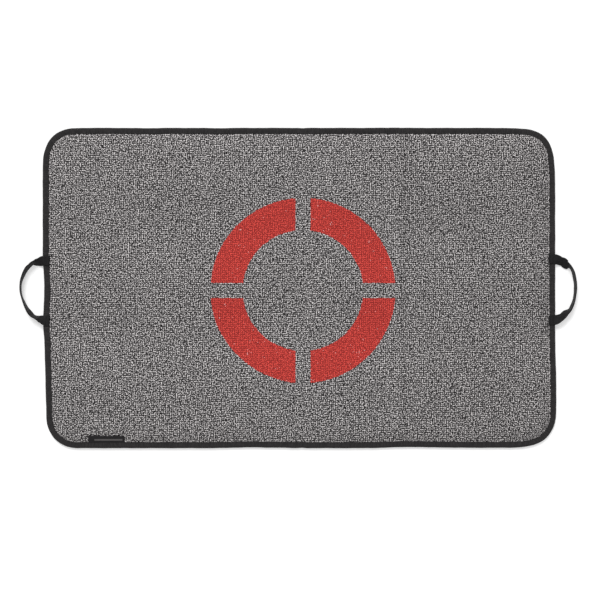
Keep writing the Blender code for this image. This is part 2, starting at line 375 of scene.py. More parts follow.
# Where the sewing drew a corner in: its place, how far that spreads, and the pull in X and Y.
CORNER_PULLS = (
    (0.498, -0.292, 0.044, -0.0017, 0.0014),
    (0.463, -0.318, 0.024, 0.0, 0.0024),
    (0.506, 0.274, 0.034, -0.0032, 0.0),
    (0.462, 0.318, 0.036, 0.0, -0.0020),
    (-0.507, 0.276, 0.020, 0.0018, 0.0),
    (-0.459, 0.318, 0.022, 0.0, -0.0008),
    (-0.498, 0.308, 0.018, 0.0, 0.0003),
    (-0.494, -0.308, 0.022, -0.0007, -0.0008),
)


def settle(sizes, x, y):
    """Moves points of the true outline to where the sewn one lies, a little out of square."""
    slant_depth, slant_start, slant_length, slant_curve = 0.0072, 0.080, 0.336, 1.2
    taper_depth, taper_start, taper_length = 0.0024, -0.085, 0.130
    narrowing, narrow_start, narrow_length = 0.0008, 0.250, 0.040
    slant = np.clip((slant_start - y) / slant_length, 0.0, 1.0) ** slant_curve
    left = humps(y, LEFT_WAVES) + slant_depth * slant - 0.0019
    right = taper_depth * level_rise((taper_start - y) / taper_length) - 0.0004
    narrowed = narrowing * level_rise((x - narrow_start) / narrow_length)
    front = humps(x, FRONT_WAVES) + narrowed + 0.0002
    back = humps(x, BACK_WAVES)
    along = 2 * x / sizes.length
    across = 2 * y / sizes.width
    moved_x = x + left * np.clip(-along, 0.0, 1.0) + right * np.clip(along, 0.0, 1.0)
    moved_y = y + front * np.clip(-across, 0.0, 1.0) + back * np.clip(across, 0.0, 1.0)
    for middle_x, middle_y, spread, pull_x, pull_y in CORNER_PULLS:
        near = hump(x, middle_x, spread) * hump(y, middle_y, spread)
        moved_x = moved_x + pull_x * near
        moved_y = moved_y + pull_y * near
    return moved_x, moved_y


TRIAL_STEP = 0.008
TRIAL_FRAMES = 20
TRIAL_HOLD = 0.15
SEWN_WIDTH = 0.004


@functools.lru_cache(maxsize=1)
def settled_sheet(length, width, radius, edge, limit):
    """Lets a trial sheet of carpet settle over the foam, and returns how far it moved up or down.

    It is cut a little large and held all round by the seam, so that it swells and waves as the
    real one does. A slow rise of the whole sheet is taken out, which keeps the pad's height."""
    sizes = bpy.context.scene.pad_sizes
    half_x, half_y = length / 2 - edge, width / 2 - edge
    columns, rows = round(2 * half_x / TRIAL_STEP) + 1, round(2 * half_y / TRIAL_STEP) + 1
    x, y = np.meshgrid(np.linspace(-half_x, half_x, columns), np.linspace(-half_y, half_y, rows))
    past_x = np.maximum(np.abs(x) - (length / 2 - radius), 0.0)
    past_y = np.maximum(np.abs(y) - (width / 2 - radius), 0.0)
    inset = np.minimum(length / 2 - np.abs(x), width / 2 - np.abs(y))
    inset = np.where(past_x * past_y > 0, radius - np.hypot(past_x, past_y), inset)
    start = face_height(sizes, np.maximum(inset, edge), x, y)
    mesh = bpy.data.meshes.new("trial_sheet")
    points = np.stack([x.ravel(), y.ravel(), start.ravel()], 1)
    corners = [j * columns + i for j in range(rows - 1) for i in range(columns - 1)]
    faces = [(k, k + 1, k + columns + 1, k + columns) for k in corners]
    mesh.from_pydata(points.tolist(), [], faces)
    sheet = bpy.data.objects.new("trial_sheet", mesh)
    scene = bpy.context.scene
    scene.collection.objects.link(sheet)
    held = sheet.vertex_groups.new(name="held")
    sewn = inset.ravel() < edge + SEWN_WIDTH
    held.add(np.nonzero(sewn)[0].tolist(), 1.0, "REPLACE")
    held.add(np.nonzero(~sewn)[0].tolist(), TRIAL_HOLD, "REPLACE")
    cloth = sheet.modifiers.new("Cloth", "CLOTH")
    cloth.point_cache.frame_start = 1
    cloth.point_cache.frame_end = TRIAL_FRAMES
    cloth.settings.quality = 5
    cloth.settings.mass = 0.3
    cloth.settings.bending_stiffness = 25.0
    cloth.settings.use_pressure = True
    cloth.settings.uniform_pressure_force = 4.0
    cloth.settings.shrink_min = -0.0015
    cloth.settings.vertex_group_mass = "held"
    cloth.settings.effector_weights.gravity = 0.0
    for number in range(1, TRIAL_FRAMES + 1):
        scene.frame_set(number)
    graph = bpy.context.evaluated_depsgraph_get()
    settled = bpy.data.meshes.new_from_object(sheet.evaluated_get(graph), depsgraph=graph)
    places = np.zeros(3 * len(points))
    settled.vertices.foreach_get("co", places)
    bpy.data.objects.remove(sheet)
    bpy.data.meshes.remove(settled)
    bpy.data.meshes.remove(mesh)
    scene.frame_set(1)
    rise = places.reshape(rows, columns, 3)[:, :, 2] - start
    waves = averaged(averaged(rise, 1), 1) - averaged(rise, 5)
    return limit * np.tanh(waves / limit)


def averaged(field, reach):
    """A field where each place has the mean of the square round it."""
    for axis in (0, 1):
        pad = [(reach, reach) if k == axis else (0, 0) for k in (0, 1)]
        wide = np.pad(field, pad, mode="edge")
        count = field.shape[axis]
        field = sum(wide.take(range(k, k + count), axis) for k in range(2 * reach + 1))
        field = field / (2 * reach + 1)
    return field


def settling(sizes, inset, x, y):
    """How far the cloth trial moves the carpet up or down at each place."""
    edge = sizes.tape_face
    field = settled_sheet(sizes.length, sizes.width, sizes.corner_radius, edge, sizes.settling)
    rows, columns = field.shape
    across = np.clip((x / (sizes.length / 2 - edge) + 1) / 2 * (columns - 1), 0, columns - 1.001)
    down = np.clip((y / (sizes.width / 2 - edge) + 1) / 2 * (rows - 1), 0, rows - 1.001)
    i, j = across.astype(int), down.astype(int)
    right, up = across - i, down - j
    low = field[j, i] * (1 - right) + field[j, i + 1] * right
    high = field[j + 1, i] * (1 - right) + field[j + 1, i + 1] * right
    free_width, fold_calm, fold_spread = 0.020, 0.85, 0.04
    free = level_rise((inset - edge) / free_width)
    calm = 1 - fold_calm * hump(x, 0.0, fold_spread)
    return (low * (1 - up) + high * up) * free * calm


def carpet_face_height(sizes, grid):
    """Height of the carpet's face at each point of a grid, with its waves."""
    height = face_height(sizes, grid.inset, grid.x, grid.y)
    height = height + ripple(sizes, grid.inset, grid.x, grid.y)
    return height + settling(sizes, grid.inset, grid.x, grid.y)


# How far from the fold the stations lie closer together.
FOLD_REACH = 0.030


def spaced(start, end, step, fine_step):
    """Stations from start to end, closer together round zero, where the pad folds."""
    low, high = min(start, end), max(start, end)
    inner = [mark for mark in (-FOLD_REACH, FOLD_REACH) if low < mark < high]
    marks = [low, *inner, high]
    stations = []
    for first, second in zip(marks, marks[1:]):
        wanted = fine_step if abs(first + second) / 2 < FOLD_REACH else step
        count = max(1, round((second - first) / wanted))
        stations.extend(np.linspace(first, second, count + 1)[:-1])
    stations.append(high)
    stations = np.array(stations)
    return stations if start < end else stations[::-1]


# Meshes

def add_piece(name, mesh, finish):
    """Puts a mesh in the scene as a smooth-shaded piece with one finish."""
    mesh.name = name
    mesh.materials.clear()
    mesh.materials.append(finish)
    mesh.shade_smooth()
    piece = bpy.data.objects.new(name, mesh)
    bpy.context.scene.collection.objects.link(piece)
    return piece


def turn_outwards(mesh):
    """Turns every face of a closed mesh outward."""
    shape = bmesh.new()
    shape.from_mesh(mesh)
    bmesh.ops.recalc_face_normals(shape, faces=shape.faces)
    shape.to_mesh(mesh)
    shape.free()


def map_corners(mesh, corner_places):
    """Gives a mesh its flat map, from one place for each face corner."""
    layer = mesh.uv_layers.new(name=REST_MAP)
    layer.data.foreach_set("uv", np.asarray(corner_places, np.float32).ravel())


def swept(name, rows, along, around, closed):
    """A mesh from rows of points, each a closed section, joined one to the next.

    along and around give the flat map, and have one entry more than a closed ring has points."""
    count, points = rows.shape[:2]
    faces = []
    places = []
    last = count if closed else count - 1
    for row in range(last):
        following = (row + 1) % count
        for point in range(points):
            beside = (point + 1) % points
            faces.append((
                row * points + point,
                following * points + point,
                following * points + beside,
                row * points + beside,
            ))
            places.extend((
                (along[row], around[point]),
                (along[row + 1], around[point]),
                (along[row + 1], around[point + 1]),
                (along[row], around[point + 1]),
            ))
    if not closed:
        for row in (0, count - 1):
            faces.append(tuple(row * points + point for point in range(points)))
            places.extend((along[row], around[point]) for point in range(points))
    mesh = bpy.data.meshes.new(name)
    mesh.from_pydata(rows.reshape(-1, 3).tolist(), [], faces)
    map_corners(mesh, places)
    turn_outwards(mesh)
    return mesh


class PadGrid:
    """Points that cover the pad: rings along the rim, and a plain grid inside the last ring."""

    def __init__(self, sizes, insets, step, fine_step):
        self.sizes = sizes
        half_length = sizes.length / 2 - insets[-1]
        half_width = sizes.width / 2 - insets[-1]
        along = spaced(-half_length, half_length, step, fine_step)
        count = max(2, round(2 * half_width / step))
        across = np.linspace(-half_width, half_width, count + 1)
        self.columns = len(along)
        self.rows = len(across)
        grid_x, grid_y = np.meshgrid(along, across)
        x = [grid_x.ravel()]
        y = [grid_y.ravel()]
        inner = np.minimum(sizes.length / 2 - np.abs(x[0]), sizes.width / 2 - np.abs(y[0]))
        inset = [inner]
        for ring_inset in reversed(insets[:-1]):
            ring_x, ring_y = self.ring(ring_inset, along / half_length, across / half_width)
            x.append(ring_x)
            y.append(ring_y)
            inset.append(np.full(len(ring_x), ring_inset))
        self.x = np.concatenate(x)
        self.y = np.concatenate(y)
        self.inset = np.concatenate(inset)
        self.loops = self.boundaries(len(insets) - 1)

    def side(self, shares, inset, half):
        """Places along one side from corner to corner, and how far each drops round a corner."""
        radius = max(self.sizes.corner_radius - inset, 1e-9)
        straight = half - max(self.sizes.corner_radius, inset)
        reach = shares * (straight + math.pi / 4 * radius)
        turn = np.maximum(np.abs(reach) - straight, 0.0) / radius
        place = np.minimum(np.abs(reach), straight) + radius * np.sin(turn)
        return np.sign(reach) * place, radius * (1 - np.cos(turn))

    def ring(self, inset, along, across):
        """A ring of points, clockwise from the back left corner."""
        half_length = self.sizes.length / 2
        half_width = self.sizes.width / 2
        long_place, long_drop = self.side(along, inset, half_length)
        short_place, short_drop = self.side(across, inset, half_width)
        back = half_width - inset - long_drop
        right = half_length - inset - short_drop
        x = [long_place, right[::-1][1:], long_place[::-1][1:], -right[1:-1]]
        y = [back, short_place[::-1][1:], -back[::-1][1:], short_place[1:-1]]
        return np.concatenate(x), np.concatenate(y)

    def boundaries(self, rings):
        """Numbers of the points of each ring, from the plain grid's edge out to the rim."""
        columns, rows = self.columns, self.rows
        top = [(rows - 1) * columns + i for i in range(columns)]
        right = [j * columns + columns - 1 for j in range(rows - 2, -1, -1)]
        bottom = [i for i in range(columns - 2, -1, -1)]
        left = [j * columns for j in range(1, rows - 1)]
        first = top + right + bottom + left
        start = columns * rows
        outer = [
            list(range(start + ring * len(first), start + (ring + 1) * len(first)))
            for ring in range(rings)
        ]
        return [first] + outer

    def faces(self):
        """Faces of one side of the pad, seen from above."""
        columns = self.columns
        made = []
        for j in range(self.rows - 1):
            for i in range(columns - 1):
                corner = j * columns + i
                made.append((corner, corner + 1, corner + columns + 1, corner + columns))
        for inner, outer in zip(self.loops, self.loops[1:]):
            for k in range(len(inner)):
                beside = (k + 1) % len(inner)
                made.append((inner[k], outer[k], outer[beside], inner[beside]))
        return made

    def solid(self, name, top, bottom):
        """A closed layer between two sets of heights, mapped by its places before it settles."""
        count = len(self.x)
        x, y = settle(self.sizes, self.x, self.y)
        points = np.concatenate([np.stack([x, y, top], 1), np.stack([x, y, bottom], 1)])
        upper = self.faces()
        lower = [tuple(count + point for point in reversed(face)) for face in upper]
        rim = self.loops[-1]
        wall = [
            (rim[k], rim[k - 1], count + rim[k - 1], count + rim[k]) for k in range(len(rim))
        ]
        mesh = bpy.data.meshes.new(name)
        mesh.from_pydata(points.tolist(), [], upper + lower + wall)
        corners = np.zeros(len(mesh.loops), np.int32)
        mesh.loops.foreach_get("vertex_index", corners)
        rest = np.stack([self.x, self.y], 1)[corners % count]
        map_corners(mesh, rest)
        turn_outwards(mesh)
        return mesh


class RimWalk:
    """Stations all round the pad's edge, clockwise from the tape's join on the back edge."""

    def __init__(self, sizes, start, step, fine_step, corner_steps):
        self.sizes = sizes
        radius = sizes.corner_radius
        self.radius = radius
        half_x = sizes.length / 2 - radius
        half_y = sizes.width / 2 - radius
        centres, ways, lengths = [], [], []

        def straight(places, way, fixed, level):
            for k, place in enumerate(places[:-1]):
                centres.append((place, fixed) if level else (fixed, place))
                ways.append(way)
                lengths.append(abs(places[k + 1] - place))

        def corner(x, y, first):
            for k in range(corner_steps):
                angle = first - math.pi / 2 * k / corner_steps
                centres.append((x, y))
                ways.append((math.cos(angle), math.sin(angle)))
                lengths.append(radius * math.pi / 2 / corner_steps)

        straight(spaced(start, half_x, step, fine_step), (0, 1), half_y, True)
        corner(half_x, half_y, math.pi / 2)
        straight(spaced(half_y, -half_y, step, step), (1, 0), half_x, False)
        corner(half_x, -half_y, 0)
        straight(spaced(half_x, -half_x, step, fine_step), (0, -1), -half_y, True)
        corner(-half_x, -half_y, -math.pi / 2)
        straight(spaced(-half_y, half_y, step, step), (-1, 0), -half_x, False)
        corner(-half_x, half_y, -math.pi)
        straight(spaced(-half_x, start, step, fine_step), (0, 1), half_y, True)
        self.centres = np.array(centres)
        self.ways = np.array(ways, float)
        self.along = np.concatenate([[0.0], np.cumsum(lengths)])

    def wave(self, terms):
        """A closed wave round the rim, from (height, cycles, phase) terms."""
        turn = TURN * self.along[:-1] / self.along[-1]
        return sum(height * np.sin(cycles * turn + phase) for height, cycles, phase in terms)

    def drawn_in(self):
        """How much wider the leaf was sewn at the left end, and how much narrower at the right."""
        wider, narrower = 0.0003, 0.0009
        level = self.ways[:, 0]
        return wider * np.maximum(-level, 0) - narrower * np.maximum(level, 0)

    def points(self, inset, height):
        """A point at each station, at an inset and a height that may change along the rim."""
        reach = (self.radius - inset) * np.ones(len(self.centres))
        place = self.centres + self.ways * reach[:, None]
        x, y = settle(self.sizes, place[:, 0], place[:, 1])
        return np.stack([x, y, height * np.ones(len(x))], 1)


def smooth_through(rows, count):
    """Points on a smooth curve through rows of numbers, whose first two are places."""
    rows = np.array(rows, float)
    steps = np.hypot(*np.diff(rows[:, :2], axis=0).T)
    known = np.concatenate([[0.0], np.cumsum(steps)])
    slopes = np.stack([np.gradient(rows[:, k], known) for k in range(rows.shape[1])], 1)
    wanted = np.linspace(0, known[-1], count)
    piece = np.clip(np.searchsorted(known, wanted, side="right") - 1, 0, len(known) - 2)
    width = (known[piece + 1] - known[piece])[:, None]
    t = (wanted[:, None] - known[piece][:, None]) / width
    start = (2 * t**3 - 3 * t**2 + 1) * rows[piece] + (t**3 - 2 * t**2 + t) * width * slopes[piece]
    end = (3 * t**2 - 2 * t**3) * rows[piece + 1] + (t**3 - t**2) * width * slopes[piece + 1]
    return start + end


# Node trees

class Wire:
    """A number or colour that leaves a node, so that node maths reads as plain sums."""

    def __init__(self, graph, socket):
        self.graph = graph
        self.socket = socket

    def __add__(self, other):
        return self.graph.maths("ADD", self, other)

    def __radd__(self, other):
        return self.graph.maths("ADD", other, self)

    def __sub__(self, other):
        return self.graph.maths("SUBTRACT", self, other)

    def __rsub__(self, other):
        return self.graph.maths("SUBTRACT", other, self)

    def __mul__(self, other):
        return self.graph.maths("MULTIPLY", self, other)

    def __rmul__(self, other):
        return self.graph.maths("MULTIPLY", other, self)

    def __truediv__(self, other):
        return self.graph.maths("DIVIDE", self, other)

    def __pow__(self, other):
        return self.graph.maths("POWER", self, other)


class Graph:
    """Builds a node tree from plain calls."""

    def __init__(self, tree):
        self.tree = tree

    def node(self, kind, settings=None, inputs=None):
        """Makes a node, sets its settings first, and then feeds its sockets values or wires."""
        made = self.tree.nodes.new(kind)
        for name, value in (settings or {}).items():
            if name == "stops":
                self.set_stops(made.color_ramp, value)
            else:
                setattr(made, name, value)
        for key, value in (inputs or {}).items():
            self.feed(made.inputs[key], value)
        return made

    def set_stops(self, ramp, stops):
        while len(ramp.elements) < len(stops):
            ramp.elements.new(1.0)
        for element, (place, shade) in zip(ramp.elements, stops):
            element.position = place
            element.color = (*shade, 1.0)

    def feed(self, socket, value):
        if isinstance(value, Wire):
            self.tree.links.new(value.socket, socket)
        elif isinstance(value, bpy.types.NodeSocket):
            self.tree.links.new(value, socket)
        else:
            socket.default_value = value

    def wire(self, kind, settings=None, inputs=None, output=0):
        made = self.node(kind, settings, inputs)
        return Wire(self, made.outputs[output])

    def maths(self, operation, *values):
        return self.wire("ShaderNodeMath", {"operation": operation}, dict(enumerate(values)))

    def sine(self, value):
        return self.maths("SINE", value)

    def seen(self):
        """1 where the camera sees a thing straight, mirrored or through glass, and 0 elsewhere."""
        path = self.node("ShaderNodeLightPath")
        rays = ("Is Camera Ray", "Is Glossy Ray", "Is Transmission Ray")
        direct, mirrored, through = (Wire(self, path.outputs[ray]) for ray in rays)
        return self.maths("MINIMUM", direct + mirrored + through, 1.0)


def shaded(colour, share):
    return [share * part for part in colour]


class Finish(Graph):
    """The procedural material of one finish."""

    def __init__(self, name, roughness=0.9, **constants):
        self.material = bpy.data.materials.new(name)
        self.material.use_nodes = True
        super().__init__(self.material.node_tree)
        self.shader = self.tree.nodes["Principled BSDF"]
        self.shader.inputs["Roughness"].default_value = roughness
        self.shader.inputs["Metallic"].default_value = 0.0
        for name, value in constants.items():
            self.shader.inputs[name.replace("_", " ")].default_value = value

    def flat_map(self):
        """Places on the piece before it was sewn, in metres."""
        return self.wire("ShaderNodeUVMap", {"uv_map": REST_MAP})

    def places(self):
        return self.wire("ShaderNodeTexCoord", output="Object")

    def parts(self, vector):
        made = self.node("ShaderNodeSeparateXYZ", None, {0: vector})
        return [Wire(self, made.outputs[k]) for k in range(3)]

    def vector(self, x, y, z=0.0):
        return self.wire("ShaderNodeCombineXYZ", None, {0: x, 1: y, 2: z})

    def vector_maths(self, operation, *values):
        return self.wire(
            "ShaderNodeVectorMath", {"operation": operation}, dict(enumerate(values))
        )

    def noise(self, vector, scale, detail=2.0, roughness=0.5, output=0):
        inputs = {"Vector": vector, "Scale": scale, "Detail": detail, "Roughness": roughness}
        return self.wire("ShaderNodeTexNoise", {"noise_dimensions": "2D"}, inputs, output)

    def cells(self, vector, scale, randomness):
        inputs = {"Vector": vector, "Scale": scale, "Randomness": randomness}
        return self.node("ShaderNodeTexVoronoi", {"voronoi_dimensions": "2D"}, inputs)

    def fade(self, value, start, end, low=0.0, high=1.0):
        """A smooth change from low to high as a value goes from start to end."""
        inputs = {"Value": value, "From Min": start, "From Max": end, "To Min": low, "To Max": high}
        return self.wire("ShaderNodeMapRange", {"interpolation_type": "SMOOTHSTEP"}, inputs)

    def clamp(self, value):
        return self.wire("ShaderNodeClamp", None, {0: value})

    def wave(self, value, pitch, shift=None):
        """A wave between 0 and 1 that repeats after a pitch."""
        turned = value * (TURN / pitch)
        return 0.5 + 0.5 * self.sine(turned if shift is None else turned + shift)

    def off(self, value, middle):
        """How far a value lies from a middle."""
        return self.maths("ABSOLUTE", value - middle)

    def tinted(self, share, colour, low, high):
        """A colour that goes from one brightness to another as a share goes from 0 to 1."""
        return self.mix(share, shaded(colour, low), shaded(colour, high))

    def mix(self, factor, first, second):
        """A colour between two colours."""
        first = first if isinstance(first, Wire) else (*first, 1.0)
        second = second if isinstance(second, Wire) else (*second, 1.0)
        return self.wire(
            "ShaderNodeMix", {"data_type": "RGBA"}, {0: factor, 6: first, 7: second}, 2
        )

    def mix_places(self, share, first, second):
        """A place between two places."""
        inputs = {0: share, 4: first, 5: second}
        return self.wire("ShaderNodeMix", {"data_type": "VECTOR"}, inputs, 1)

    def ramp(self, value, stops):
        return self.wire("ShaderNodeValToRGB", {"stops": stops}, {0: value})

    def bump(self, height, distance, strength=1.0, under=None):
        """A normal from a height between 0 and 1 that stands for a distance in metres."""
        inputs = {"Height": height, "Distance": distance, "Strength": strength}
        if under is not None:
            inputs["Normal"] = under
        return self.wire("ShaderNodeBump", None, inputs)

    def show(self, colour, normal=None, roughness=None):
        self.feed(self.shader.inputs["Base Color"], colour)
        if normal is not None:
            self.feed(self.shader.inputs["Normal"], normal)
        if roughness is not None:
            self.feed(self.shader.inputs["Roughness"], roughness)
        return self.material


def printed_share(paint, pile, place):
    """1 where a place lies on one of the ring's four arcs."""
    x, y, _ = paint.parts(place)
    x, y = x - pile.ring_x, y + pile.ring_y
    radius = paint.maths("SQRT", x * x + y * y)
    off_band = paint.off(radius, pile.ring_radius)
    on_band = paint.maths("LESS_THAN", off_band, pile.ring_band / 2)
    clear_x = paint.maths("GREATER_THAN", paint.maths("ABSOLUTE", x), pile.ring_gap / 2)
    clear_y = paint.maths("GREATER_THAN", paint.maths("ABSOLUTE", y), pile.ring_gap / 2)
    return on_band * clear_x * clear_y


def yarn_shade(paint, tone, middle, colours):
    """The pile's colour for a tone from 0 to 1, with most loops' colour at a middle tone."""
    stops = ((0.0, colours.pile_dark), (middle, colours.pile_middle), (1.0, colours.pile_bright))
    return paint.ramp(tone, stops)


def carpet_finish(pile, colours):
    """Heather loops of yarn with painted shade between them, and a ring printed loop by loop."""
    paint = Finish("looped_carpet", 0.95, Specular_IOR_Level=0.1)
    flat = paint.flat_map()
    pitch = pile.loop_pitch
    drifts_per_loop, irregular = 0.22, 0.45
    drift = paint.noise(flat, drifts_per_loop / pitch, 2.0, output=1)
    drift = paint.vector_maths("SUBTRACT", drift, (0.5, 0.5, 0.5))
    drift = paint.vector_maths("MULTIPLY", drift, (pitch, pitch, 0.0))
    bent = paint.vector_maths("ADD", flat, drift)
    bent_x, bent_y, _ = paint.parts(bent)
    x, y = bent_x / pitch, bent_y / pile.row_pitch
    rows = paint.vector(x + y, y - x)
    loops = paint.cells(rows, 1.0, irregular)
    turn_chance, tone_chance, size_chance = paint.parts(loops.outputs["Color"])
    middle = loops.outputs["Position"]
    away_x, away_y, _ = paint.parts(paint.vector_maths("SUBTRACT", rows, middle))
    angle = turn_chance * math.pi
    cosine = paint.maths("COSINE", angle)
    sine = paint.sine(angle)
    half_loop, half_yarn = 0.52, 0.30
    along = (away_x * cosine + away_y * sine) / half_loop
    across = (away_y * cosine - away_x * sine) / half_yarn
    reach = paint.maths("SQRT", along * along + across * across)
    crest = paint.fade(reach, 1.50, 0.20)
    grain = paint.noise(flat, 1 / pile.yarn_grain, 1.0) - 0.5
    fibres_across, fibres_along, between_loops = 4.4, 0.9, 60.0
    strand = paint.vector(
        across * fibres_across + tone_chance * between_loops, along * fibres_along
    )
    fibre = paint.noise(strand, 1.0, 2.0) - 0.5
    ribs_per_metre, stray = TURN / pile.rib_pitch, 0.8
    lengthways = paint.sine(bent_x * ribs_per_metre + stray * (turn_chance - 0.5))
    crossways = paint.sine(bent_y * ribs_per_metre + stray * (size_chance - 0.5))
    ribs = 0.22 * lengthways + 0.27 * crossways
    height = paint.clamp(crest * (0.50 + 0.50 * size_chance) + 2.8 * grain + ribs)
    tone = paint.clamp(
        0.36 + 0.42 * (tone_chance - 0.5) + 3.1 * grain + 0.9 * fibre + 0.5 * ribs
    )
    yarn = yarn_shade(paint, tone, 0.45, colours)
    # Painted shade between the loops: the lower a place on a loop, the nearer its colour to the gap
    # shade.
    grey = paint.mix(paint.fade(height, 0.04, 0.74), colours.pile_gap_shade, yarn)
    place_x, place_y, _ = paint.parts(middle)
    place = paint.vector(
        (place_x - place_y) * (pitch / 2), (place_x + place_y) * (pile.row_pitch / 2)
    )
    edge = paint.mix_places(0.3, flat, place)
    printed = printed_share(paint, pile, edge)
    # The print takes painted shade between the loops too.
    ink = paint.mix(paint.fade(height, 0.0, 0.95), colours.print_gap_shade, colours.print_red)
    worn = paint.noise(flat, 90.0, 2.0)
    bare_over, ink_lost = 1.10, 0.7
    missed = paint.maths("GREATER_THAN", worn + 0.30 * size_chance + 0.9 * grain, bare_over)
    colour = paint.mix(printed * (1.0 - ink_lost * missed), grey, ink)
    # Painted shade in the creases of the yarn.
    creases = paint.fade(fibre, 0.02, -0.20)
    colour = paint.mix(creases * 0.45, colour, colours.pile_gap_shade)
    # Slow painted shade, and one band of painted highlight, over the whole face.
    colour = paint.mix(painted_slow_shade(paint, flat), colour, BLACK)
    normal = paint.bump(height, pile.loop_depth, 0.35)
    normal = paint.bump(fibre, 0.0004, 0.5, normal)
    return paint.show(colour, normal)


# Bands of painted shade across the pad over the pressed hollows, and one band of painted highlight
# where the darkening is below zero:
# the middle, where the band ends and where it is full on each side of that, and how much darker it
# is.
PAINTED_SHADE_BANDS = (
    (0.207, 0.012, 0.004, 0.085),
    (0.252, 0.010, 0.003, 0.035),
    (0.184, 0.015, 0.005, -0.045),
)


def painted_slow_shade(paint, flat):
    """Painted shade over the pile as a share of black, with one band of painted highlight."""
    x, y, _ = paint.parts(flat)
    # Painted shade: darker towards the right end, in cloudy patches and in slow stripes along the
    # pad.
    side = paint.fade(x, -0.05, 0.50) * 0.055
    cloudy = paint.fade(paint.noise(flat, 8.0, 2.0), 0.30, 0.70) * 0.035
    shade = side + cloudy + paint.wave(y, 0.190, 2.6) * 0.05
    for middle, end, full, darker in PAINTED_SHADE_BANDS:
        shade = shade + paint.fade(paint.off(x, middle), end, full) * darker
    return shade


def tuft_finish(colours):
    """Single tufts of the carpet's yarn, each in a tone of its own."""
    paint = Finish("carpet_tufts", 0.95, Specular_IOR_Level=0.15)
    tone = paint.wire("ShaderNodeAttribute", {"attribute_name": TUFT_TONE}, output="Fac")
    fibre = paint.noise(paint.places(), 1100.0, 2.0)
    shade = paint.clamp(tone * 0.9 + 0.35 * (fibre - 0.5))
    yarn = yarn_shade(paint, shade, 0.50, colours)
    return paint.show(yarn, paint.bump(fibre, 0.0003, 0.5))


def tape_finish(sizes, threads, weaves, colours):
    """Ribbed woven tape drawn in at each stitch, its turn paler with wear and painted highlight."""
    paint = Finish("ribbed_tape", 0.85, Specular_IOR_Level=0.18)
    flat = paint.flat_map()
    along, across, _ = paint.parts(flat)
    ribs = paint.wave(along, weaves.tape_rib)
    yarns = paint.wave(across, weaves.tape_yarn)
    weave = paint.clamp(ribs * 0.75 + yarns * 0.25)
    uneven = paint.noise(paint.vector(along, across * 0.25), 420.0, 3.0)
    slow = paint.noise(flat, 45.0, 3.0)
    colour = paint.tinted(weave, colours.tape, 0.72, 1.24)
    colour = paint.mix(paint.fade(uneven, 0.35, 0.75, 0.0, 0.35), colour, colours.tape_fuzz)
    colour = paint.mix(paint.fade(slow, 0.45, 0.75, 0.0, 0.25), colour, colours.tape_dull)
    off_turn = paint.off(across, weaves.tape_turn)
    # Paler along the turn: partly wear, partly a painted highlight.
    wear_and_highlight = paint.fade(off_turn, 0.0042, 0.0012) * paint.fade(uneven, 0.30, 0.65)
    colour = paint.mix(wear_and_highlight * 0.5, colour, colours.tape_wear_and_highlight)
    # Painted shade along both edges of the tape.
    colour = paint.mix(paint.fade(off_turn, 0.0115, 0.0132) * 0.55, colour, colours.tape_edge_shade)
    off_seam = paint.off(across, sizes.tape_face - threads.seam_inset + 0.0004)
    pucker = paint.wave(along, threads.seam_pitch) * paint.fade(off_seam, 0.0035, 0.0002)
    normal = paint.bump(weave, 0.00018, 0.7)
    normal = paint.bump(slow, 0.0006, 0.6, normal)
    normal = paint.bump(pucker, 0.0004, 0.8, normal)
    return paint.show(colour, normal, paint.fade(uneven, 0.3, 0.8, 0.92, 0.74))


def webbing_finish(weaves, colours):
    """Webbing woven in chevrons, with a groove between two columns of them."""
    paint = Finish("carry_webbing", 0.7, Specular_IOR_Level=0.15)
    along, across, _ = paint.parts(paint.flat_map())
    fold = paint.maths("PINGPONG", across / weaves.chevron_width, 1.0)
    chevron = paint.wave(along / weaves.chevron_pitch + fold * 0.9, 1.0)
    yarn = chevron * paint.fade(paint.off(fold, 0.5), 0.42, 0.5, 1.0, 0.55)
    fibre = paint.noise(paint.vector(along * 0.35, across), 2600.0, 2.0)
    colour = paint.tinted(paint.clamp(yarn * 0.8 + fibre * 0.3), colours.webbing, 0.55, 1.75)
    normal = paint.bump(yarn, 0.00030, 0.8)
    normal = paint.bump(fibre, 0.00005, 0.5, normal)
    return paint.show(colour, normal, paint.fade(yarn, 0.0, 1.0, 0.72, 0.52))


def ground_finish(weaves, colours):
    """Coated cloth with squares of thicker yarn, a little dusty where it has lain."""
    paint = Finish("ground_cloth", 0.6, Specular_IOR_Level=0.4)
    flat = paint.flat_map()
    x, y, _ = paint.parts(flat)
    warp, weft = (paint.wave(way, weaves.ground_yarn) for way in (x, y))
    weave = paint.clamp(warp * 0.5 + weft * 0.5)
    square, half = weaves.ground_square, weaves.ground_square / 2
    off_x, off_y = (paint.off(paint.maths("PINGPONG", way, square), half) for way in (x, y))
    squares = paint.fade(paint.maths("MAXIMUM", off_x, off_y), 0.70 * half, 0.95 * half)
    dust = paint.noise(flat, 11.0, 9.0, 0.68)
    specks = paint.noise(flat, 320.0, 2.0)
    creases = paint.noise(paint.vector(x * 0.6, y), 26.0, 7.0, 0.62)
    colour = paint.tinted(weave, colours.ground, 0.75, 1.25)
    colour = paint.mix(squares * 0.35, colour, shaded(colours.ground, 1.8))
    colour = paint.mix(paint.fade(dust, 0.46, 0.74, 0.0, 0.12), colour, colours.dust)
    colour = paint.mix(paint.fade(specks, 0.64, 0.74, 0.0, 0.45), colour, colours.specks)
    normal = paint.bump(weave, 0.00012, 0.7)
    normal = paint.bump(squares, 0.00030, 0.7, normal)
    normal = paint.bump(creases, 0.0012, 0.7, normal)
    return paint.show(colour, normal, paint.fade(dust, 0.3, 0.8, 0.58, 0.70))


